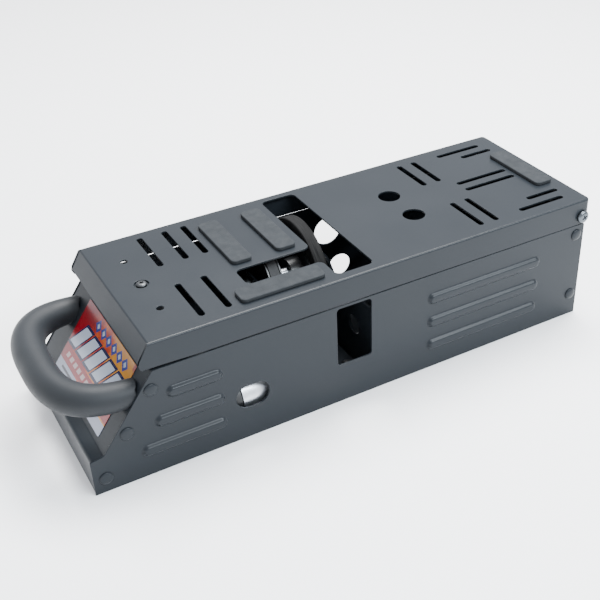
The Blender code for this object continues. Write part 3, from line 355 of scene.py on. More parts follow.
class Nodes:
    """Shorthand for a material's node tree."""

    def __init__(self, name):
        self.material = bpy.data.materials.new(name)
        self.material.use_nodes = True
        self.tree = self.material.node_tree
        self.shader = self.tree.nodes["Principled BSDF"]

    def add(self, kind, **values):
        node = self.tree.nodes.new(kind)
        for key, value in values.items():
            setattr(node, key, value)
        return node

    def put(self, socket, value):
        if isinstance(value, bpy.types.NodeSocket):
            self.tree.links.new(value, socket)
        else:
            socket.default_value = value

    def math(self, operation, first, second=0.0, third=0.0):
        node = self.add("ShaderNodeMath", operation=operation)
        for socket, value in zip(node.inputs, (first, second, third)):
            self.put(socket, value)
        return node.outputs[0]

    def mix(self, factor, first, second):
        node = self.add("ShaderNodeMix", data_type="RGBA")
        self.put(node.inputs["Factor"], factor)
        self.put(node.inputs[6], first)
        self.put(node.inputs[7], second)
        return node.outputs[2]

    def remap(self, value, low, high, to_low=0.0, to_high=1.0):
        node = self.add("ShaderNodeMapRange")
        for socket, entry in zip(node.inputs, (value, low, high, to_low, to_high)):
            self.put(socket, entry)
        return node.outputs[0]

    def noise(self, scale, detail=2.0, stretch=(1, 1, 1), roughness=0.5):
        place = self.add("ShaderNodeTexCoord").outputs["Object"]
        mapping = self.add("ShaderNodeMapping")
        self.put(mapping.inputs["Vector"], place)
        mapping.inputs["Scale"].default_value = stretch
        texture = self.add("ShaderNodeTexNoise")
        self.put(texture.inputs["Vector"], mapping.outputs[0])
        texture.inputs["Scale"].default_value = scale
        texture.inputs["Detail"].default_value = detail
        texture.inputs["Roughness"].default_value = roughness
        return texture.outputs[0]

    def bump(self, height, strength, distance):
        node = self.add("ShaderNodeBump")
        node.inputs["Strength"].default_value = strength
        node.inputs["Distance"].default_value = distance
        self.put(node.inputs["Height"], height)
        self.put(self.shader.inputs["Normal"], node.outputs[0])

    def base(self, value):
        self.put(self.shader.inputs["Base Color"], value)

    def set(self, **values):
        for key, value in values.items():
            self.put(self.shader.inputs[key.replace("_", " ")], value)


def surface(name, colour, spread, roughness, grain, metallic=0.0, bump=0.1, patch=14.0, **extra):
    """Material whose colour and roughness drift, with a fine grain in its relief."""
    made = Nodes(name)
    drift = made.noise(patch, 4.0)
    darker = tuple(c * (1 - spread) for c in colour)
    lighter = tuple(min(1.0, c * (1 + spread)) for c in colour)
    made.base(made.mix(made.remap(drift, 0.3, 0.7), (*darker, 1), (*lighter, 1)))
    made.put(made.shader.inputs["Roughness"],
             made.remap(made.noise(patch * 2.3, 3.0), 0.3, 0.7, roughness * 0.9, roughness * 1.1))
    made.set(Metallic=metallic, **extra)
    made.bump(made.noise(grain, 2.0), bump, 0.0002)
    return made


powder = surface("powder_coat", (0.0105, 0.0132, 0.0163), 0.05, 0.33, 2600, bump=0.08,
                 Specular_IOR_Level=0.16).material
pad_rubber = surface("pad_rubber", (0.019, 0.0215, 0.024), 0.10, 0.86, 1300, bump=0.9, patch=120,
                     Specular_IOR_Level=0.2).material
foam = surface("foam", (0.0085, 0.0104, 0.0127), 0.12, 0.55, 1800, bump=0.22, patch=30,
               Sheen_Weight=0.03, Sheen_Roughness=0.5, Specular_IOR_Level=0.25).material
zinc = surface("zinc", (0.62, 0.65, 0.69), 0.12, 0.34, 900, metallic=1.0, bump=0.10, patch=160).material
aluminium = surface("aluminium", (0.66, 0.67, 0.69), 0.05, 0.30, 1200, metallic=1.0, bump=0.05).material
black_steel = surface("black_steel", (0.09, 0.10, 0.11), 0.05, 0.30, 1200, metallic=1.0, bump=0.05).material
black_oxide = surface("black_oxide", (0.010, 0.011, 0.012), 0.05, 0.38, 1200, bump=0.05).material
screw_steel = surface("screw_steel", (0.06, 0.063, 0.066), 0.1, 0.36, 1200, metallic=1.0, bump=0.05).material
black_plastic = surface("black_plastic", (0.008, 0.009, 0.010), 0.1, 0.45, 1500, bump=0.1).material
red_plastic = surface("red_plastic", (0.45, 0.02, 0.02), 0.08, 0.4, 1500, bump=0.05).material
belt_rubber = surface("belt_rubber", (0.018, 0.018, 0.019), 0.1, 0.7, 1500, bump=0.2).material
windings = surface("windings", (0.42, 0.2, 0.1), 0.2, 0.4, 700, metallic=0.8, bump=0.5, patch=300).material


def tread_material():
    """Rubber ground down round its tread: streaks run round the wheel."""
    made = Nodes("wheel_rubber")
    streaks = made.noise(90, 5.0, (22, 0.8, 0.8), 0.65)
    fine = made.noise(1600, 2.0)
    amount = made.remap(streaks, 0.36, 0.64)
    made.base(made.mix(amount, (0.003, 0.003, 0.0033, 1), (0.012, 0.012, 0.0118, 1)))
    made.set(Roughness=0.8, Specular_IOR_Level=0.1)
    height = made.math("ADD", streaks, made.math("MULTIPLY", fine, 0.35))
    made.bump(height, 0.5, 0.0003)
    return made.material


def label_material():
    """Printed film: warm colour bands, a row of slanted white bars and rows of small plain marks."""
    made = Nodes("label")
    spot = made.add("ShaderNodeSeparateXYZ")
    made.put(spot.inputs[0], made.add("ShaderNodeTexCoord").outputs["UV"])
    u, v = spot.outputs[0], spot.outputs[1]

    def within(value, low, high):
        return made.math("MULTIPLY", made.math("GREATER_THAN", value, low),
                         made.math("LESS_THAN", value, high))

    def row(count, lean, middle, half_height, u_low, u_high, share, joined="MAXIMUM"):
        """Row of slanted marks: 0 in their middles, 1 on their edges. MAXIMUM gives bars, ADD diamonds."""
        slanted = made.math("SUBTRACT", u, made.math("MULTIPLY", v, lean))
        phase = made.math("SUBTRACT", made.math("FRACT", made.math("MULTIPLY", slanted, count)), 0.5)
        across = made.math("ABSOLUTE", made.math("DIVIDE", phase, share))
        rise = made.math("ABSOLUTE", made.math("DIVIDE", made.math("SUBTRACT", v, middle), half_height))
        outside = made.math("SUBTRACT", 1.0, within(slanted, u_low, u_high))
        return made.math("ADD", made.math(joined, across, rise), made.math("MULTIPLY", outside, 9.0))

    def below(field, level):
        return made.math("LESS_THAN", field, level)

    swirl = made.math("MULTIPLY", made.noise(75, 5.0, (1, 1, 1), 0.6), 0.95)
    warm = made.math("ADD", made.math("MULTIPLY", u, 0.66), swirl)
    warm = made.math("SUBTRACT", warm, 0.20)
    red, orange, yellow = (0.15, 0.002, 0.006, 1), (0.30, 0.032, 0.004, 1), (0.36, 0.15, 0.010, 1)
    navy, blue, white = (0.003, 0.005, 0.035, 1), (0.006, 0.016, 0.14, 1), (0.26, 0.29, 0.35, 1)
    colour = made.mix(made.remap(warm, 0.40, 0.58), red, orange)
    colour = made.mix(made.remap(warm, 0.58, 0.76), colour, yellow)
    colour = made.mix(made.remap(warm, 0.90, 1.02), colour, red)
    colour = made.mix(within(v, 0.17, 0.34), colour, (0.17, 0.003, 0.008, 1))
    colour = made.mix(below(row(12, 0.25, 0.255, 0.035, 0.02, 0.70, 0.32), 1.0), colour, (0.27, 0.20, 0.20, 1))
    big = row(6.0, 0.42, 0.56, 0.20, -0.17, 0.83, 0.46)
    colour = made.mix(below(big, 1.0), colour, navy)
    colour = made.mix(below(big, 0.80), colour, white)
    small = row(9, -0.1, 0.87, 0.085, 0.33, 1.0, 0.50, "ADD")
    colour = made.mix(below(small, 1.0), colour, blue)
    colour = made.mix(below(small, 0.45), colour, white)
    colour = made.mix(below(v, 0.15), colour, (0.19, 0.21, 0.27, 1))
    line = made.math("MULTIPLY", within(v, 0.065, 0.10), within(u, 0.10, 0.78))
    colour = made.mix(line, colour, (0.008, 0.010, 0.022, 1))
    made.base(colour)
    made.set(Roughness=0.22, Coat_Weight=0.3, Coat_Roughness=0.1)
    return made.material


def dress(obj, material, body, nodes=(), sharp=38, weighted=True):
    """Finish a visual piece: smooth faces, material, body and the CAD nodes that it stands for."""
    obj.data.materials.clear()
    obj.data.materials.append(material)
    obj.data.shade_smooth()
    obj.data.set_sharp_from_angle(angle=math.radians(sharp))
    if weighted:
        step = obj.modifiers.new("weighted", "WEIGHTED_NORMAL")
        step.keep_sharp = True
        step.weight = 80
    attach(obj, body)
    if nodes:
        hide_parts(*nodes)
    return obj


# ------------------------------------------------------------------ case

def louvre(name, start, end, z, side):
    """Pressed rib with rounded shoulders on a side wall."""
    work = bmesh.new()
    rows = []
    shoulder = 2.3 * MM
    count = 9
    for step in range(count + 1):
        t = step / count
        rows.append((shoulder * t, LOUVRE_PROUD * t * t * (3 - 2 * t)))
    rows.append((LOUVRE_HALF_HEIGHT - 0.3 * MM, LOUVRE_PROUD * 1.03))
    rings = []
    for inset, height in rows:
        low = LOUVRE_HALF_HEIGHT - inset
        ring = slot(start + inset, end - inset, z - low, z + low)
        rings.append([work.verts.new((x, side * (HALF_WIDTH + height), y)) for x, y in ring])
    for first, second in zip(rings, rings[1:]):
        bridge(work, first, second)
    work.faces.new(rings[-1])
    return new_object(name, work)


def build_case():
    corners = [(-HALF_LENGTH, 0), (HALF_LENGTH, 0), (HALF_LENGTH, WALL_TOP),
               (SLANT_TOP[0] + 0.7 * MM, WALL_TOP), LEDGE_INNER, (-HALF_LENGTH, LIP_TOP)]
    outline = rounded(corners, [0, 0, 1 * MM, 1 * MM, 3 * MM, 0.8 * MM])
    pieces = []
    for side in (-1, 1):
        if side < 0:
            holes = [slot(*NEAR_PORT, 20), rectangle(*NEAR_WINDOW, 2 * MM)]
        else:
            holes = [circle(*port) for port in FAR_PORTS]
        pieces.append(sheet("wall", outline, holes, SHEET, wall_place(side, SHEET / 2), 0.28 * MM))
        for start, z in zip(FRONT_LOUVRE_STARTS, LOUVRE_ROWS):
            pieces.append(louvre("rib", start, FRONT_LOUVRE_END, z, side))
        for z in LOUVRE_ROWS:
            pieces.append(louvre("rib", REAR_LOUVRE_START[side], REAR_LOUVRE_END, z, side))
    edge = rectangle(-HALF_LENGTH + 0.4 * MM, HALF_LENGTH - 0.4 * MM, -HALF_WIDTH + 0.6 * MM, HALF_WIDTH - 0.6 * MM)
    holes = [circle(x, y, 1.9 * MM, 24) for x, y in BRACKET_SCREWS]
    lift = Matrix.Translation((0, 0, SHEET / 2 + 0.02 * MM))
    pieces.append(sheet("floor", edge, holes, SHEET, lift))
    dress(join("case_shell", pieces), powder, "case", ["base_shell"])


def build_front_panel():
    middle = -(PANEL_RECESS + SHEET / 2)
    start = Vector((SLANT_TOP[0], 0, SLANT_TOP[1])) + SLANT_OUT * middle
    along = (start.z - (LIP_TOP + 0.2 * MM)) / math.sin(SLANT_ANGLE)
    foot = start + SLANT_DOWN * along
    lip_x = -HALF_LENGTH + PANEL_RECESS + SHEET / 2
    line = [(lip_x, SHEET + 0.3 * MM), (lip_x, LIP_TOP - 0.8 * MM), (foot.x, foot.z),
            (start.x, start.z), (FLANGE_END, start.z)]
    section = thick_line(rounded(line, 1.6 * MM, closed=False), SHEET)
    fold = sheet("fold", section, [], 2 * (TAB_OUTER - 0.15 * MM), STAND_UP, 0.1 * MM)
    tab = [(lip_x, 1.8 * MM), (lip_x, LIP_TOP - 1 * MM), (foot.x, foot.z), (start.x, start.z),
           (-112 * MM, start.z), (-112 * MM, 58 * MM), (-143 * MM, 18 * MM), (-143 * MM, 1.8 * MM)]
    pieces = [fold]
    for side in (-1, 1):
        place = Matrix.Translation((0, side * (TAB_OUTER - SHEET / 2), 0)) @ STAND_UP
        pieces.append(sheet("tab", tab, [], SHEET, place))
    dress(join("front_end", pieces), powder, "case", ["front_panel"])


def build_rear_panel():
    outer = HALF_LENGTH - PANEL_RECESS
    reach = TAB_OUTER - 0.2 * MM
    edge = rectangle(-reach, reach, 1.5 * MM, REAR_TOP, 0.6 * MM)
    place = Matrix.Translation((outer - SHEET / 2, 0, 0)) @ QUARTER_Z @ STAND_UP
    pieces = [sheet("end", edge, [], SHEET, place)]
    ear = 3.8 * MM
    tab = [(146 * MM, 1.8 * MM), (outer - SHEET / 2, 1.8 * MM), (outer - SHEET / 2, 64 * MM),
           (PIVOT[0] + ear, 68 * MM), (PIVOT[0] + ear, PIVOT[1] + ear),
           (PIVOT[0] - ear, PIVOT[1] + ear), (146 * MM, 62 * MM)]
    radii = [0, 0, 0, 1 * MM, 3.4 * MM, 3.4 * MM, 2 * MM]
    for side in (-1, 1):
        place = Matrix.Translation((0, side * (TAB_OUTER - SHEET / 2), 0)) @ STAND_UP
        hole = circle(*PIVOT, 2.3 * MM, 32)
        pieces.append(sheet("tab", rounded(tab, radii), [hole], SHEET, place))
    dress(join("rear_end", pieces), powder, "case", ["rear_panel"])


def build_rivets():
    for node in sorted(frame["nodes"]):
        if not node.startswith("rivet_"):
            continue
        low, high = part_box(node)
        side = -1 if low.y < 0 else 1
        centre = (low + high) / 2
        head = (high.z - low.z) / 2
        seat = HALF_WIDTH + 0.12 * MM
        rise = 1.25 * MM
        steps = [math.pi / 2 * step / 8 for step in range(9)]
        dome = [(head * math.sin(a), rise * (0.12 + 0.88 * math.cos(a))) for a in steps]
        dome += [(head, 0), (1.6 * MM, 0), (1.6 * MM, -3.1 * MM), (0, -3.1 * MM)]
        place = outward(side, centre.x, side * seat, centre.z)
        dress(turned(f"{node}_dome", dome, place, steps=40), powder, "case", [node], 60)


# ------------------------------------------------------------------ top plate

def lid_holes():
    holes = [circle(-106.7 * MM, y, 2.1 * MM, 32) for y in (-27.5 * MM, 27.5 * MM)]
    holes.append(circle(LID_SCREW_X, 0, 4.2 * MM, 48))
    for x in (-90.2 * MM, -74.8 * MM, -62.7 * MM):
        holes.append(slot(x - SLOT_HALF, x + SLOT_HALF, 11.8 * MM, 48.1 * MM))
    for x in (-90.2 * MM, -74.8 * MM):
        holes.append(slot(x - SLOT_HALF, x + SLOT_HALF, -45.9 * MM, -10.1 * MM))
    for side in (-1, 1):
        holes.append(circle(62.7 * MM, side * 13.9 * MM, 6.9 * MM))
        for x in (90.2 * MM, 101.2 * MM):
            low, high = sorted((side * 14.1 * MM, side * 46.2 * MM))
            holes.append(slot(x - SLOT_HALF, x + SLOT_HALF, low, high))
        for y, start, end in ((4.7, 108.3, 146.3), (34.5, 133.1, 156.8), (43.8, 119.9, 153.5)):
            middle = side * y * MM
            holes.append(slot(start * MM, end * MM, middle - SLOT_HALF, middle + SLOT_HALF))
    opening = [(-9.4, 49.5), (13.2, 49.5), (13.2, -48.4), (-11.0, -48.4), (-11.0, -31.4),
               (-57.4, -31.4), (-57.4, -14.6), (-9.4, -14.6)]
    holes.append(rounded([(x * MM, y * MM) for x, y in opening], 3.8 * MM, steps=10))
    return holes


def skirt_low(x):
    """Height of the skirt's lower edge: an even wedge over the wall, trimmed at the front corner."""
    trim = CORNER_TRIM * max(0.0, (CORNER_TRIM_END - x) / (CORNER_TRIM_END - LID_NOSE[0]))
    return WALL_TOP + LID_CLOSED_GAP + LID_SWING * (PIVOT[0] - x) + trim


def nose_x(z):
    """Front edge of the skirt at a height."""
    lowest = skirt_low(LID_NOSE[0])
    share = max(0.0, min(1.0, (LID_TOP - z) / (LID_TOP - LID_NOSE[1])))
    x = LID_FRONT + (LID_NOSE[0] - LID_FRONT) * share
    if z < LID_NOSE[1]:
        t = (LID_NOSE[1] - z) / max(1e-6, LID_NOSE[1] - lowest)
        x = LID_NOSE[0] + 1.4 * MM * t * t
    return x


def build_rim():
    """Bends and skirts along both sides and round the rear corners."""
    corner = 3.0 * MM
    path = [((x * MM, -HALF_WIDTH), (0, 1)) for x in (-118, -95, -80, -40, 0, 40, 80, 120, 150, 160)]
    path.insert(0, ((LID_FRONT, -HALF_WIDTH), (0, 1)))
    for step in range(9):
        angle = -math.pi / 2 + math.pi / 2 * step / 8
        path.append(((LID_REAR - corner + corner * math.cos(angle), -HALF_WIDTH + corner + corner * math.sin(angle)),
                     (-math.cos(angle), -math.sin(angle))))
    mirror = [((x, -y), (nx, -ny)) for (x, y), (nx, ny) in reversed(path)]
    path += mirror
    work = bmesh.new()
    rings = []
    last = len(path) - 1
    for index, ((x, y), (nx, ny)) in enumerate(path):
        low = skirt_low(min(x, 150 * MM)) if x < LID_REAR - corner + 0.1 * MM else None
        share = 0.0 if low is not None else min(1.0, (x - (LID_REAR - corner)) / corner)
        low = low if low is not None else skirt_low(150 * MM) + 0.3 * MM * share
        ring = []
        turns = [math.pi / 2 * step / 6 for step in range(7)]
        inner = SHEET
        rows = [(BEND * (1 - math.sin(a)), LID_TOP - BEND * (1 - math.cos(a))) for a in turns]
        soft = 0.25 * MM
        heights = [LID_TOP - BEND - (LID_TOP - BEND - low - soft) * s for s in (0.3, 0.6, 0.8, 0.9, 1.0)]
        rows += [(0, z) for z in heights]
        rows += [(soft, low), (inner - soft, low), (inner, low + soft)]
        rows += [(inner, z) for z in reversed(heights[:-1])]
        rows += [(inner, LID_TOP - BEND), (BEND, LID_TOP - SHEET)]
        for inset, z in rows:
            at = nose_x(z) if index in (0, last) else x
            ring.append(work.verts.new((at + nx * inset, y + ny * inset, z)))
        rings.append(ring)
    for first, second in zip(rings, rings[1:]):
        bridge(work, first, second)
    for ring in (rings[0], rings[-1]):
        work.faces.new(ring)
    return new_object("rim", work)


def build_lid():
    corner = 3.0 * MM - BEND
    half = HALF_WIDTH - BEND
    nose = Vector((LID_NOSE[0] - LID_FRONT, LID_NOSE[1] - LID_TOP)).normalized()
    lead = 1.6 * MM
    edge = rounded([(LID_FRONT + lead, -half), (LID_REAR - BEND, -half), (LID_REAR - BEND, half),
                    (LID_FRONT + lead, half)], [0, corner, corner, 0])
    top = sheet("top", edge, lid_holes(), SHEET, Matrix.Translation((0, 0, LID_TOP - SHEET / 2)),
                EDGE, outer_edge=False)
    middle = LID_TOP - SHEET / 2
    corner_x = LID_FRONT + 0.62 * MM
    tip = Vector((corner_x, middle)) + nose * ((LID_TOP - LID_NOSE[1]) / -nose.y - 0.3 * MM)
    line = rounded([(LID_FRONT + lead, middle), (corner_x, middle), tuple(tip)], 0.75 * MM, closed=False)
    flange = sheet("flange", thick_line(line, SHEET), [], 2 * (HALF_WIDTH - SHEET - 0.35 * MM), STAND_UP, 0.12 * MM)
    seat = turned("seat", [(6.2 * MM, -0.9 * MM), (6.2 * MM, 0.1 * MM), (4.4 * MM, 0.3 * MM), (2.4 * MM, 0.3 * MM),
                           (2.4 * MM, -0.9 * MM)], Matrix.Translation((LID_SCREW_X, 0, LID_TOP - SHEET)), closed=True)
    edge = rectangle(-HALF_WIDTH + 2.5 * MM, HALF_WIDTH - 2.5 * MM, REAR_FLANGE_LOW, LID_TOP - 3 * MM, 0.8 * MM)
    place = Matrix.Translation((LID_REAR - SHEET / 2 - 0.02 * MM, 0, 0)) @ QUARTER_Z @ STAND_UP
    apron = sheet("apron", edge, [], SHEET, place)
    lid = join("top_plate_shell", [top, build_rim(), flange, apron, seat])
    dress(lid, powder, "top_plate", ["lid"])


def build_pads():
    for node in ("pad_front", "pad_middle", "pad_side", "pad_rear"):
        low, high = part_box(node)
        centre = (low + high) / 2
        half = (high - low) / 2
        edge = rectangle(-half.x, half.x, -half.y, half.y, 3 * MM)
        place = Matrix.Translation((centre.x, centre.y, (LID_TOP + high.z) / 2))
        pad = sheet(f"{node}_rubber", edge, [], high.z - LID_TOP - 0.02 * MM, place, 0.6 * MM, steps=5)
        dress(pad, pad_rubber, "top_plate", [node])


def cross_cutter(size, width, depth, place):
    """Cross-shaped recess cutter about local Z, from above height 0 down to -depth."""
    corner, arm = width / 2, size / 2
    outline = [(arm, -corner), (arm, corner), (corner, corner), (corner, arm), (-corner, arm),
               (-corner, corner), (-arm, corner), (-arm, -corner), (-corner, -corner),
               (-corner, -arm), (corner, -arm), (corner, -corner)]
    work = bmesh.new()
    rings = [[work.verts.new((x * k, y * k, z)) for x, y in outline] for k, z in ((1.1, 1 * MM), (0.55, -depth))]
    bridge(work, *rings)
    for ring in rings:
        work.faces.new(ring)
    return new_object("cross", work, place)


def pan_head(name, radius, rise, shank, length, place):
    """Pan-head screw with a cross recess."""
    steps = [math.pi / 2 * step / 8 for step in range(9)]
    profile = [(0, rise)] + [(radius * (0.45 + 0.55 * math.sin(a)), rise * (0.3 + 0.7 * math.cos(a))) for a in steps]
    profile += [(radius, 0.1 * MM), (radius - 0.15 * MM, 0), (shank, 0), (shank, -length), (0, -length)]
    screw = turned(name, profile, place, steps=48)
    cutter = cross_cutter(radius * 1.15, radius * 0.3, 0.8 * MM,
                          place @ Matrix.Translation((0, 0, rise)) @ Matrix.Rotation(0.5, 4, "Z"))
    return carve(screw, cutter)


def build_screws():
    for node in ("pivot_screw_near", "pivot_screw_far"):
        side = -1 if node.endswith("near") else 1
        place = outward(side, PIVOT[0], side * (HALF_WIDTH + 0.15 * MM), PIVOT[1])
        screw = pan_head(f"{node}_head", 4.1 * MM, 2.55 * MM, 2.0 * MM, 8.6 * MM, place)
        dress(screw, black_steel, "case", [node], 40)
    low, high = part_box("lid_screw")
    place = Matrix.Translation((LID_SCREW_X, 0, high.z - 1.7 * MM))
    screw = pan_head("lid_screw_head", 3.1 * MM, 1.68 * MM, 2.0 * MM, high.z - 1.7 * MM - low.z, place)
    dress(screw, screw_steel, "case", ["lid_screw"], 40)


def build_spring():
    """Coil under the top plate."""
    source = frame["nodes"]["lid_spring"]
    mesh = source.data.copy()
    mesh.transform(source.matrix_world)
    coil = bpy.data.objects.new("spring_coil", mesh)
    bpy.context.scene.collection.objects.link(coil)
    dress(coil, zinc, "case", ["lid_spring"], 80, weighted=False)
    step = coil.modifiers.new("round", "SUBSURF")
    step.levels = step.render_levels = 2
    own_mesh(coil)


# ------------------------------------------------------------------ handle and label

def build_grip():
    steps, around = 168, 40
    x, z = HANDLE_ROOT
    lean = Vector((-math.cos(HANDLE_RISE), 0, math.sin(HANDLE_RISE)))
    power = 2 / HANDLE_POWER
    centres, sizes = [], []
    inward = 4 * MM
    for step in range(steps + 1):
        t = step / steps
        eased = t - 0.04 * math.sin(4 * math.pi * t) / 2
        angle = math.pi * eased
        out = HANDLE_REACH * abs(math.sin(angle)) ** power if 0 < step < steps else -inward
        across = HANDLE_HALF_WIDTH * math.copysign(abs(math.cos(angle)) ** power, math.cos(angle))
        centres.append(Vector((x, across, z)) + lean * out)
        sizes.append(GRIP_ROOT_RADIUS + (GRIP_MIDDLE_RADIUS - GRIP_ROOT_RADIUS) * max(0.0, out / HANDLE_REACH))
    up = Vector((math.sin(HANDLE_RISE), 0, math.cos(HANDLE_RISE)))
    work = bmesh.new()
    rings = []
    for index, (centre, size) in enumerate(zip(centres, sizes)):
        ahead = centres[min(index + 1, steps)] - centres[max(index - 1, 0)]
        outward_way = ahead.normalized().cross(up).normalized()
        ring = []
        for turn in range(around):
            angle = 2 * math.pi * turn / around
            ring.append(centre + (outward_way * math.cos(angle) + up * math.sin(angle)) * size)
        rings.append(ring)
    for end in (0, steps):
        ring = []
        for point in rings[end]:
            plane = Vector((SLANT_TOP[0], 0, SLANT_TOP[1])) + SLANT_OUT * (0.8 * MM)
            gap = (point - plane).dot(SLANT_OUT)
            ring.append(point - lean * (gap / lean.dot(SLANT_OUT)))
        rings[end] = ring
    verts = [[work.verts.new(point) for point in ring] for ring in rings]
    for first, second in zip(verts, verts[1:]):
        bridge(work, first, second)
    for ring in (verts[0], verts[-1]):
        work.faces.new(ring)
    grip = new_object("grip_foam", work)
    dress(grip, foam, "case", ["handle_grip"], 60, weighted=False)


def build_label():
    half_width, half_height = LABEL_WIDTH / 2, LABEL_HEIGHT / 2
    edge = rectangle(-half_width, half_width, -half_height, half_height, 1 * MM)
    place = slant_place(LABEL_DROP + half_height, -PANEL_RECESS + 0.2 * MM, LABEL_SHIFT)
    film = sheet("label_film", edge, [], 0.25 * MM, place, 0.05 * MM, steps=1)
    dress(film, label_material(), "case", ["label"])


# ------------------------------------------------------------------ drive

def build_wheel():
    place = along_x(WHEEL_X, *WHEEL_AXIS)
    inner = HUB_RADIUS + 0.3 * MM
    section = [(WHEEL_RADIUS, WHEEL_HALF), (WHEEL_RADIUS, -WHEEL_HALF), (inner, -WHEEL_HALF), (inner, WHEEL_HALF)]
    tyre = turned("tyre_tread", rounded(section, [0.9 * MM, 0.9 * MM, 0.2 * MM, 0.2 * MM], steps=4), place, True, 160)
    dress(tyre, tread_material(), "wheel", ["wheel_tyre"], 60)
    bore = SHAFT_BORE
    rim, web = WHEEL_HALF - 0.4 * MM, 1.5 * MM
    section = [(HUB_RADIUS, rim), (HUB_RADIUS, -rim), (20 * MM, -rim), (19 * MM, -web), (9 * MM, -web),
               (8 * MM, -9 * MM), (bore, -9 * MM), (bore, 7 * MM), (8 * MM, 7 * MM), (9 * MM, web),
               (19 * MM, web), (20 * MM, rim)]
    hub = turned("hub_metal", rounded(section, 0.3 * MM, steps=2), place, True, 120)
    dress(hub, black_oxide, "wheel", ["wheel_hub"])
    low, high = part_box("wheel_shaft")
    place = along_x((low.x + high.x) / 2, *WHEEL_AXIS)
    half = (high.x - low.x) / 2
    shaft = turned("shaft_metal", [(0, half), (2.6 * MM, half), (3 * MM, half - 0.4 * MM), (3 * MM, -half + 0.4 * MM),
                                   (2.6 * MM, -half), (0, -half)], place)
    dress(shaft, zinc, "wheel", ["wheel_shaft"])
    radius = (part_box("driven_pulley")[1].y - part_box("driven_pulley")[0].y) / 2
    place = along_x(PULLEY_X[0], *WHEEL_AXIS)
    big = turned("driven_pulley_metal", pulley_profile(radius, 9 * MM, bore), place, True, 140)
    dress(big, black_oxide, "wheel", ["driven_pulley"])
    radius = (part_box("motor_pulley")[1].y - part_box("motor_pulley")[0].y) / 2
    place = along_x(PULLEY_X[0], *MOTOR_AXIS)
    small = turned("motor_pulley_metal", pulley_profile(radius, 9 * MM, 1.9 * MM), place, True, 64)
    dress(small, aluminium, "rotor", ["motor_pulley"])
    for node in ("bearing_front", "bearing_rear"):
        low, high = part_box(node)
        outer, half = (high.y - low.y) / 2, (high.x - low.x) / 2
        section = rounded([(outer, half), (outer, -half), (bore, -half), (bore, half)], 0.25 * MM, steps=2)
        ring = turned(f"{node}_ring", section, along_x((low.x + high.x) / 2, *WHEEL_AXIS), True)
        dress(ring, screw_steel, "case", [node])


def belt_points(extra):
    """Belt outline round both pulleys about the motor axis."""
    small = 14 * BELT_PITCH / (2 * math.pi) + extra
    large = 56 * BELT_PITCH / (2 * math.pi) + extra
    shift = Vector((WHEEL_AXIS[0] - MOTOR_AXIS[0], WHEEL_AXIS[1] - MOTOR_AXIS[1]))
    heading = math.atan2(shift.y, shift.x)
    spread = math.acos((small - large) / shift.length)
    outline = []
    for step in range(49):
        angle = heading + spread + (2 * math.pi - 2 * spread) * step / 48
        outline.append((small * math.cos(angle), small * math.sin(angle)))
    for step in range(97):
        angle = heading - spread + 2 * spread * step / 96
        outline.append((shift.x + large * math.cos(angle), shift.y + large * math.sin(angle)))
    return outline


def build_belt():
    place = Matrix.Translation(((PULLEY_X[0] + PULLEY_X[1]) / 2, *MOTOR_AXIS)) @ QUARTER_Z @ STAND_UP
    belt = sheet("belt_band", belt_points(1.28 * MM), [belt_points(-0.1 * MM)], 6 * MM, place, 0.15 * MM)
    dress(belt, belt_rubber, "case", ["drive_belt"])


def build_bracket():
    thick = 1.5 * MM
    low = 1.5 * MM + thick / 2
    y, z = WHEEL_AXIS
    front, rear = BRACKET_FRONT + thick / 2, BRACKET_REAR - thick / 2
    line = rounded([(front, 6 * MM), (front, low), (rear, low), (rear, 6 * MM)], 1 * MM, closed=False)
    place = Matrix.Translation((0, -4.5 * MM, 0)) @ STAND_UP
    foot = sheet("foot", thick_line(line, thick), [], 92.8 * MM, place, 0.12 * MM)
    stand = QUARTER_Z @ STAND_UP
    motor_y, motor_z = MOTOR_AXIS
    edge = rounded([(UPRIGHT_NEAR, 3 * MM), (41.9 * MM, 3 * MM), (41.9 * MM, 20 * MM), (y + 11 * MM, z + 9 * MM),
                    (y - 11 * MM, z + 9 * MM), (y - 19 * MM, UPRIGHT_TOP), (UPRIGHT_NEAR, UPRIGHT_TOP)],
                   [0, 0, 4 * MM, 6 * MM, 6 * MM, 4 * MM, 3.5 * MM])
    bore = circle(y, z, 6.8 * MM)
    holes = [bore, circle(motor_y, motor_z, MOTOR_BOSS + 0.5 * MM)]
    holes += [circle(motor_y, motor_z + shift, 1.9 * MM, 24) for shift in (-8 * MM, 8 * MM)]
    first = sheet("front_upright", edge, holes, thick, Matrix.Translation((front, 0, 0)) @ stand)
    second = sheet("rear_upright", edge, [bore, circle(*UPRIGHT_HOLE)], thick, Matrix.Translation((rear, 0, 0)) @ stand)
    dress(join("drive_frame", [foot, first, second]), powder, "case", ["drive_bracket"])


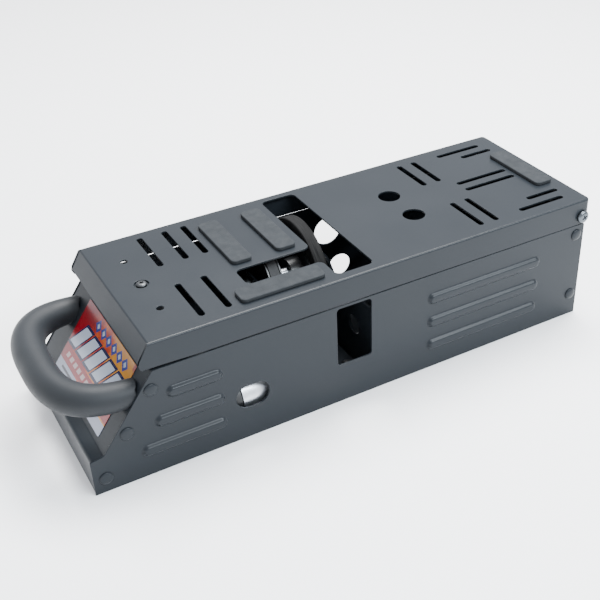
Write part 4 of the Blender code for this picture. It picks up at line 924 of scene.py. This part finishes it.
def build_motor():
    place = along_x(MOTOR_FACE, *MOTOR_AXIS)
    skin = 1.4 * MM
    inner, boss_bore = MOTOR_RADIUS - skin, 3.4 * MM
    section = [(MOTOR_BOSS, boss_bore), (MOTOR_BOSS, 0), (MOTOR_RADIUS, 0), (MOTOR_RADIUS, -MOTOR_LENGTH),
               (inner, -MOTOR_LENGTH), (inner, -skin), (boss_bore, -skin), (boss_bore, boss_bore)]
    radii = [0.3 * MM, 0.4 * MM, 2.2 * MM, 0.3 * MM, 0.3 * MM, 0.6 * MM, 0.2 * MM, 0.2 * MM]
    can = turned("motor_shell", rounded(section, radii, steps=4), place, True, 120)
    dress(can, zinc, "case", ["motor_can"])
    back, gap = 6 * MM, 0.3 * MM
    section = [(MOTOR_RADIUS - gap, -gap), (MOTOR_RADIUS - gap, -4 * MM), (MOTOR_RADIUS - 3 * MM, -back),
               (MOTOR_BOSS, -back), (MOTOR_BOSS, -back - 2 * MM), (1.9 * MM, -back - 2 * MM), (1.9 * MM, -gap)]
    place = along_x(MOTOR_FACE - MOTOR_LENGTH, *MOTOR_AXIS)
    bell = turned("motor_bell", rounded(section, 0.3 * MM, steps=2), place, True, 96)
    dress(bell, black_plastic, "case", ["motor_endbell"])


# ------------------------------------------------------------------ the rest of the CAD nodes

SLOT_MATERIALS = {
    "powder_coat": powder, "pad_rubber": pad_rubber, "foam": foam, "zinc": zinc, "black_steel": black_oxide,
    "aluminium": aluminium, "black_plastic": black_plastic, "red_plastic": red_plastic, "windings": windings,
    "belt_rubber": belt_rubber,
}


def dress_cad():
    """Materials and smooth faces for the CAD nodes that are shown as they are."""
    slots = {entry["node"]: entry["material_slot"] for entry in frame["record"]["subparts"]}
    for node, obj in frame["nodes"].items():
        if obj.hide_render:
            continue
        obj.data.materials.clear()
        obj.data.materials.append(SLOT_MATERIALS[slots[node]])
        obj.data.shade_smooth()
        obj.data.set_sharp_from_angle(angle=math.radians(34))
        if node.startswith("lead_"):
            obj.data.set_sharp_from_angle(angle=math.radians(80))
            step = obj.modifiers.new("round", "SUBSURF")
            step.levels = step.render_levels = 2


# ------------------------------------------------------------------ stage

def build_stage():
    work = bmesh.new()
    size = 6.0
    work.faces.new([work.verts.new((x, y, -0.02 * MM)) for x, y in rectangle(-size, size, -size, size)])
    floor = new_object("floor_plane", work)
    made = Nodes("floor")
    made.set(Base_Color=(0.88, 0.885, 0.89, 1), Roughness=0.75)
    floor.data.materials.append(made.material)

    world = bpy.data.worlds.new("studio")
    world.use_nodes = True
    world.node_tree.nodes["Background"].inputs["Color"].default_value = (0.93, 0.95, 1.0, 1)
    world.node_tree.nodes["Background"].inputs["Strength"].default_value = 1.75
    bpy.context.scene.world = world

    def area(name, spot, target, size, power, colour=(1, 1, 1)):
        data = bpy.data.lights.new(name, "AREA")
        data.shape = "RECTANGLE"
        data.size, data.size_y = size
        data.energy = power
        data.color = colour
        lamp = bpy.data.objects.new(name, data)
        lamp.location = spot
        lamp.rotation_euler = (Vector(target) - Vector(spot)).to_track_quat("-Z", "Y").to_euler()
        bpy.context.scene.collection.objects.link(lamp)

    area("key_softbox", (0.32, 0.30, 1.12), (0, 0, 0.05), (0.9, 0.6), 52)
    area("edge_strip", (0.36, -0.74, 0.80), (0, 0, 0.04), (0.95, 0.04), 22, (0.86, 0.94, 1.0))


def build_camera():
    yaw, pitch, roll = math.radians(29.56), math.radians(32.90), math.radians(-1.34)
    ahead = Vector((math.sin(yaw) * math.cos(pitch), math.cos(yaw) * math.cos(pitch), -math.sin(pitch)))
    right = Vector((math.cos(yaw), -math.sin(yaw), 0))
    up = right.cross(ahead)
    across = right * math.cos(roll) + up * math.sin(roll)
    upward = up * math.cos(roll) - right * math.sin(roll)
    data = bpy.data.cameras.new("camera")
    data.lens = 60.66
    data.sensor_width = 36
    data.shift_x = -0.0698
    data.shift_y = -0.0217
    camera = bpy.data.objects.new("camera", data)
    turn = Matrix((across, upward, -ahead)).transposed().to_4x4()
    camera.matrix_world = Matrix.Translation((-0.24138, -0.45964, 0.38033)) @ turn
    bpy.context.scene.collection.objects.link(camera)
    bpy.context.scene.camera = camera


build_case()
build_front_panel()
build_rear_panel()
build_rivets()
build_lid()
build_pads()
build_screws()
build_spring()
build_grip()
build_label()
build_wheel()
build_belt()
build_bracket()
build_motor()
dress_cad()
build_stage()
build_camera()
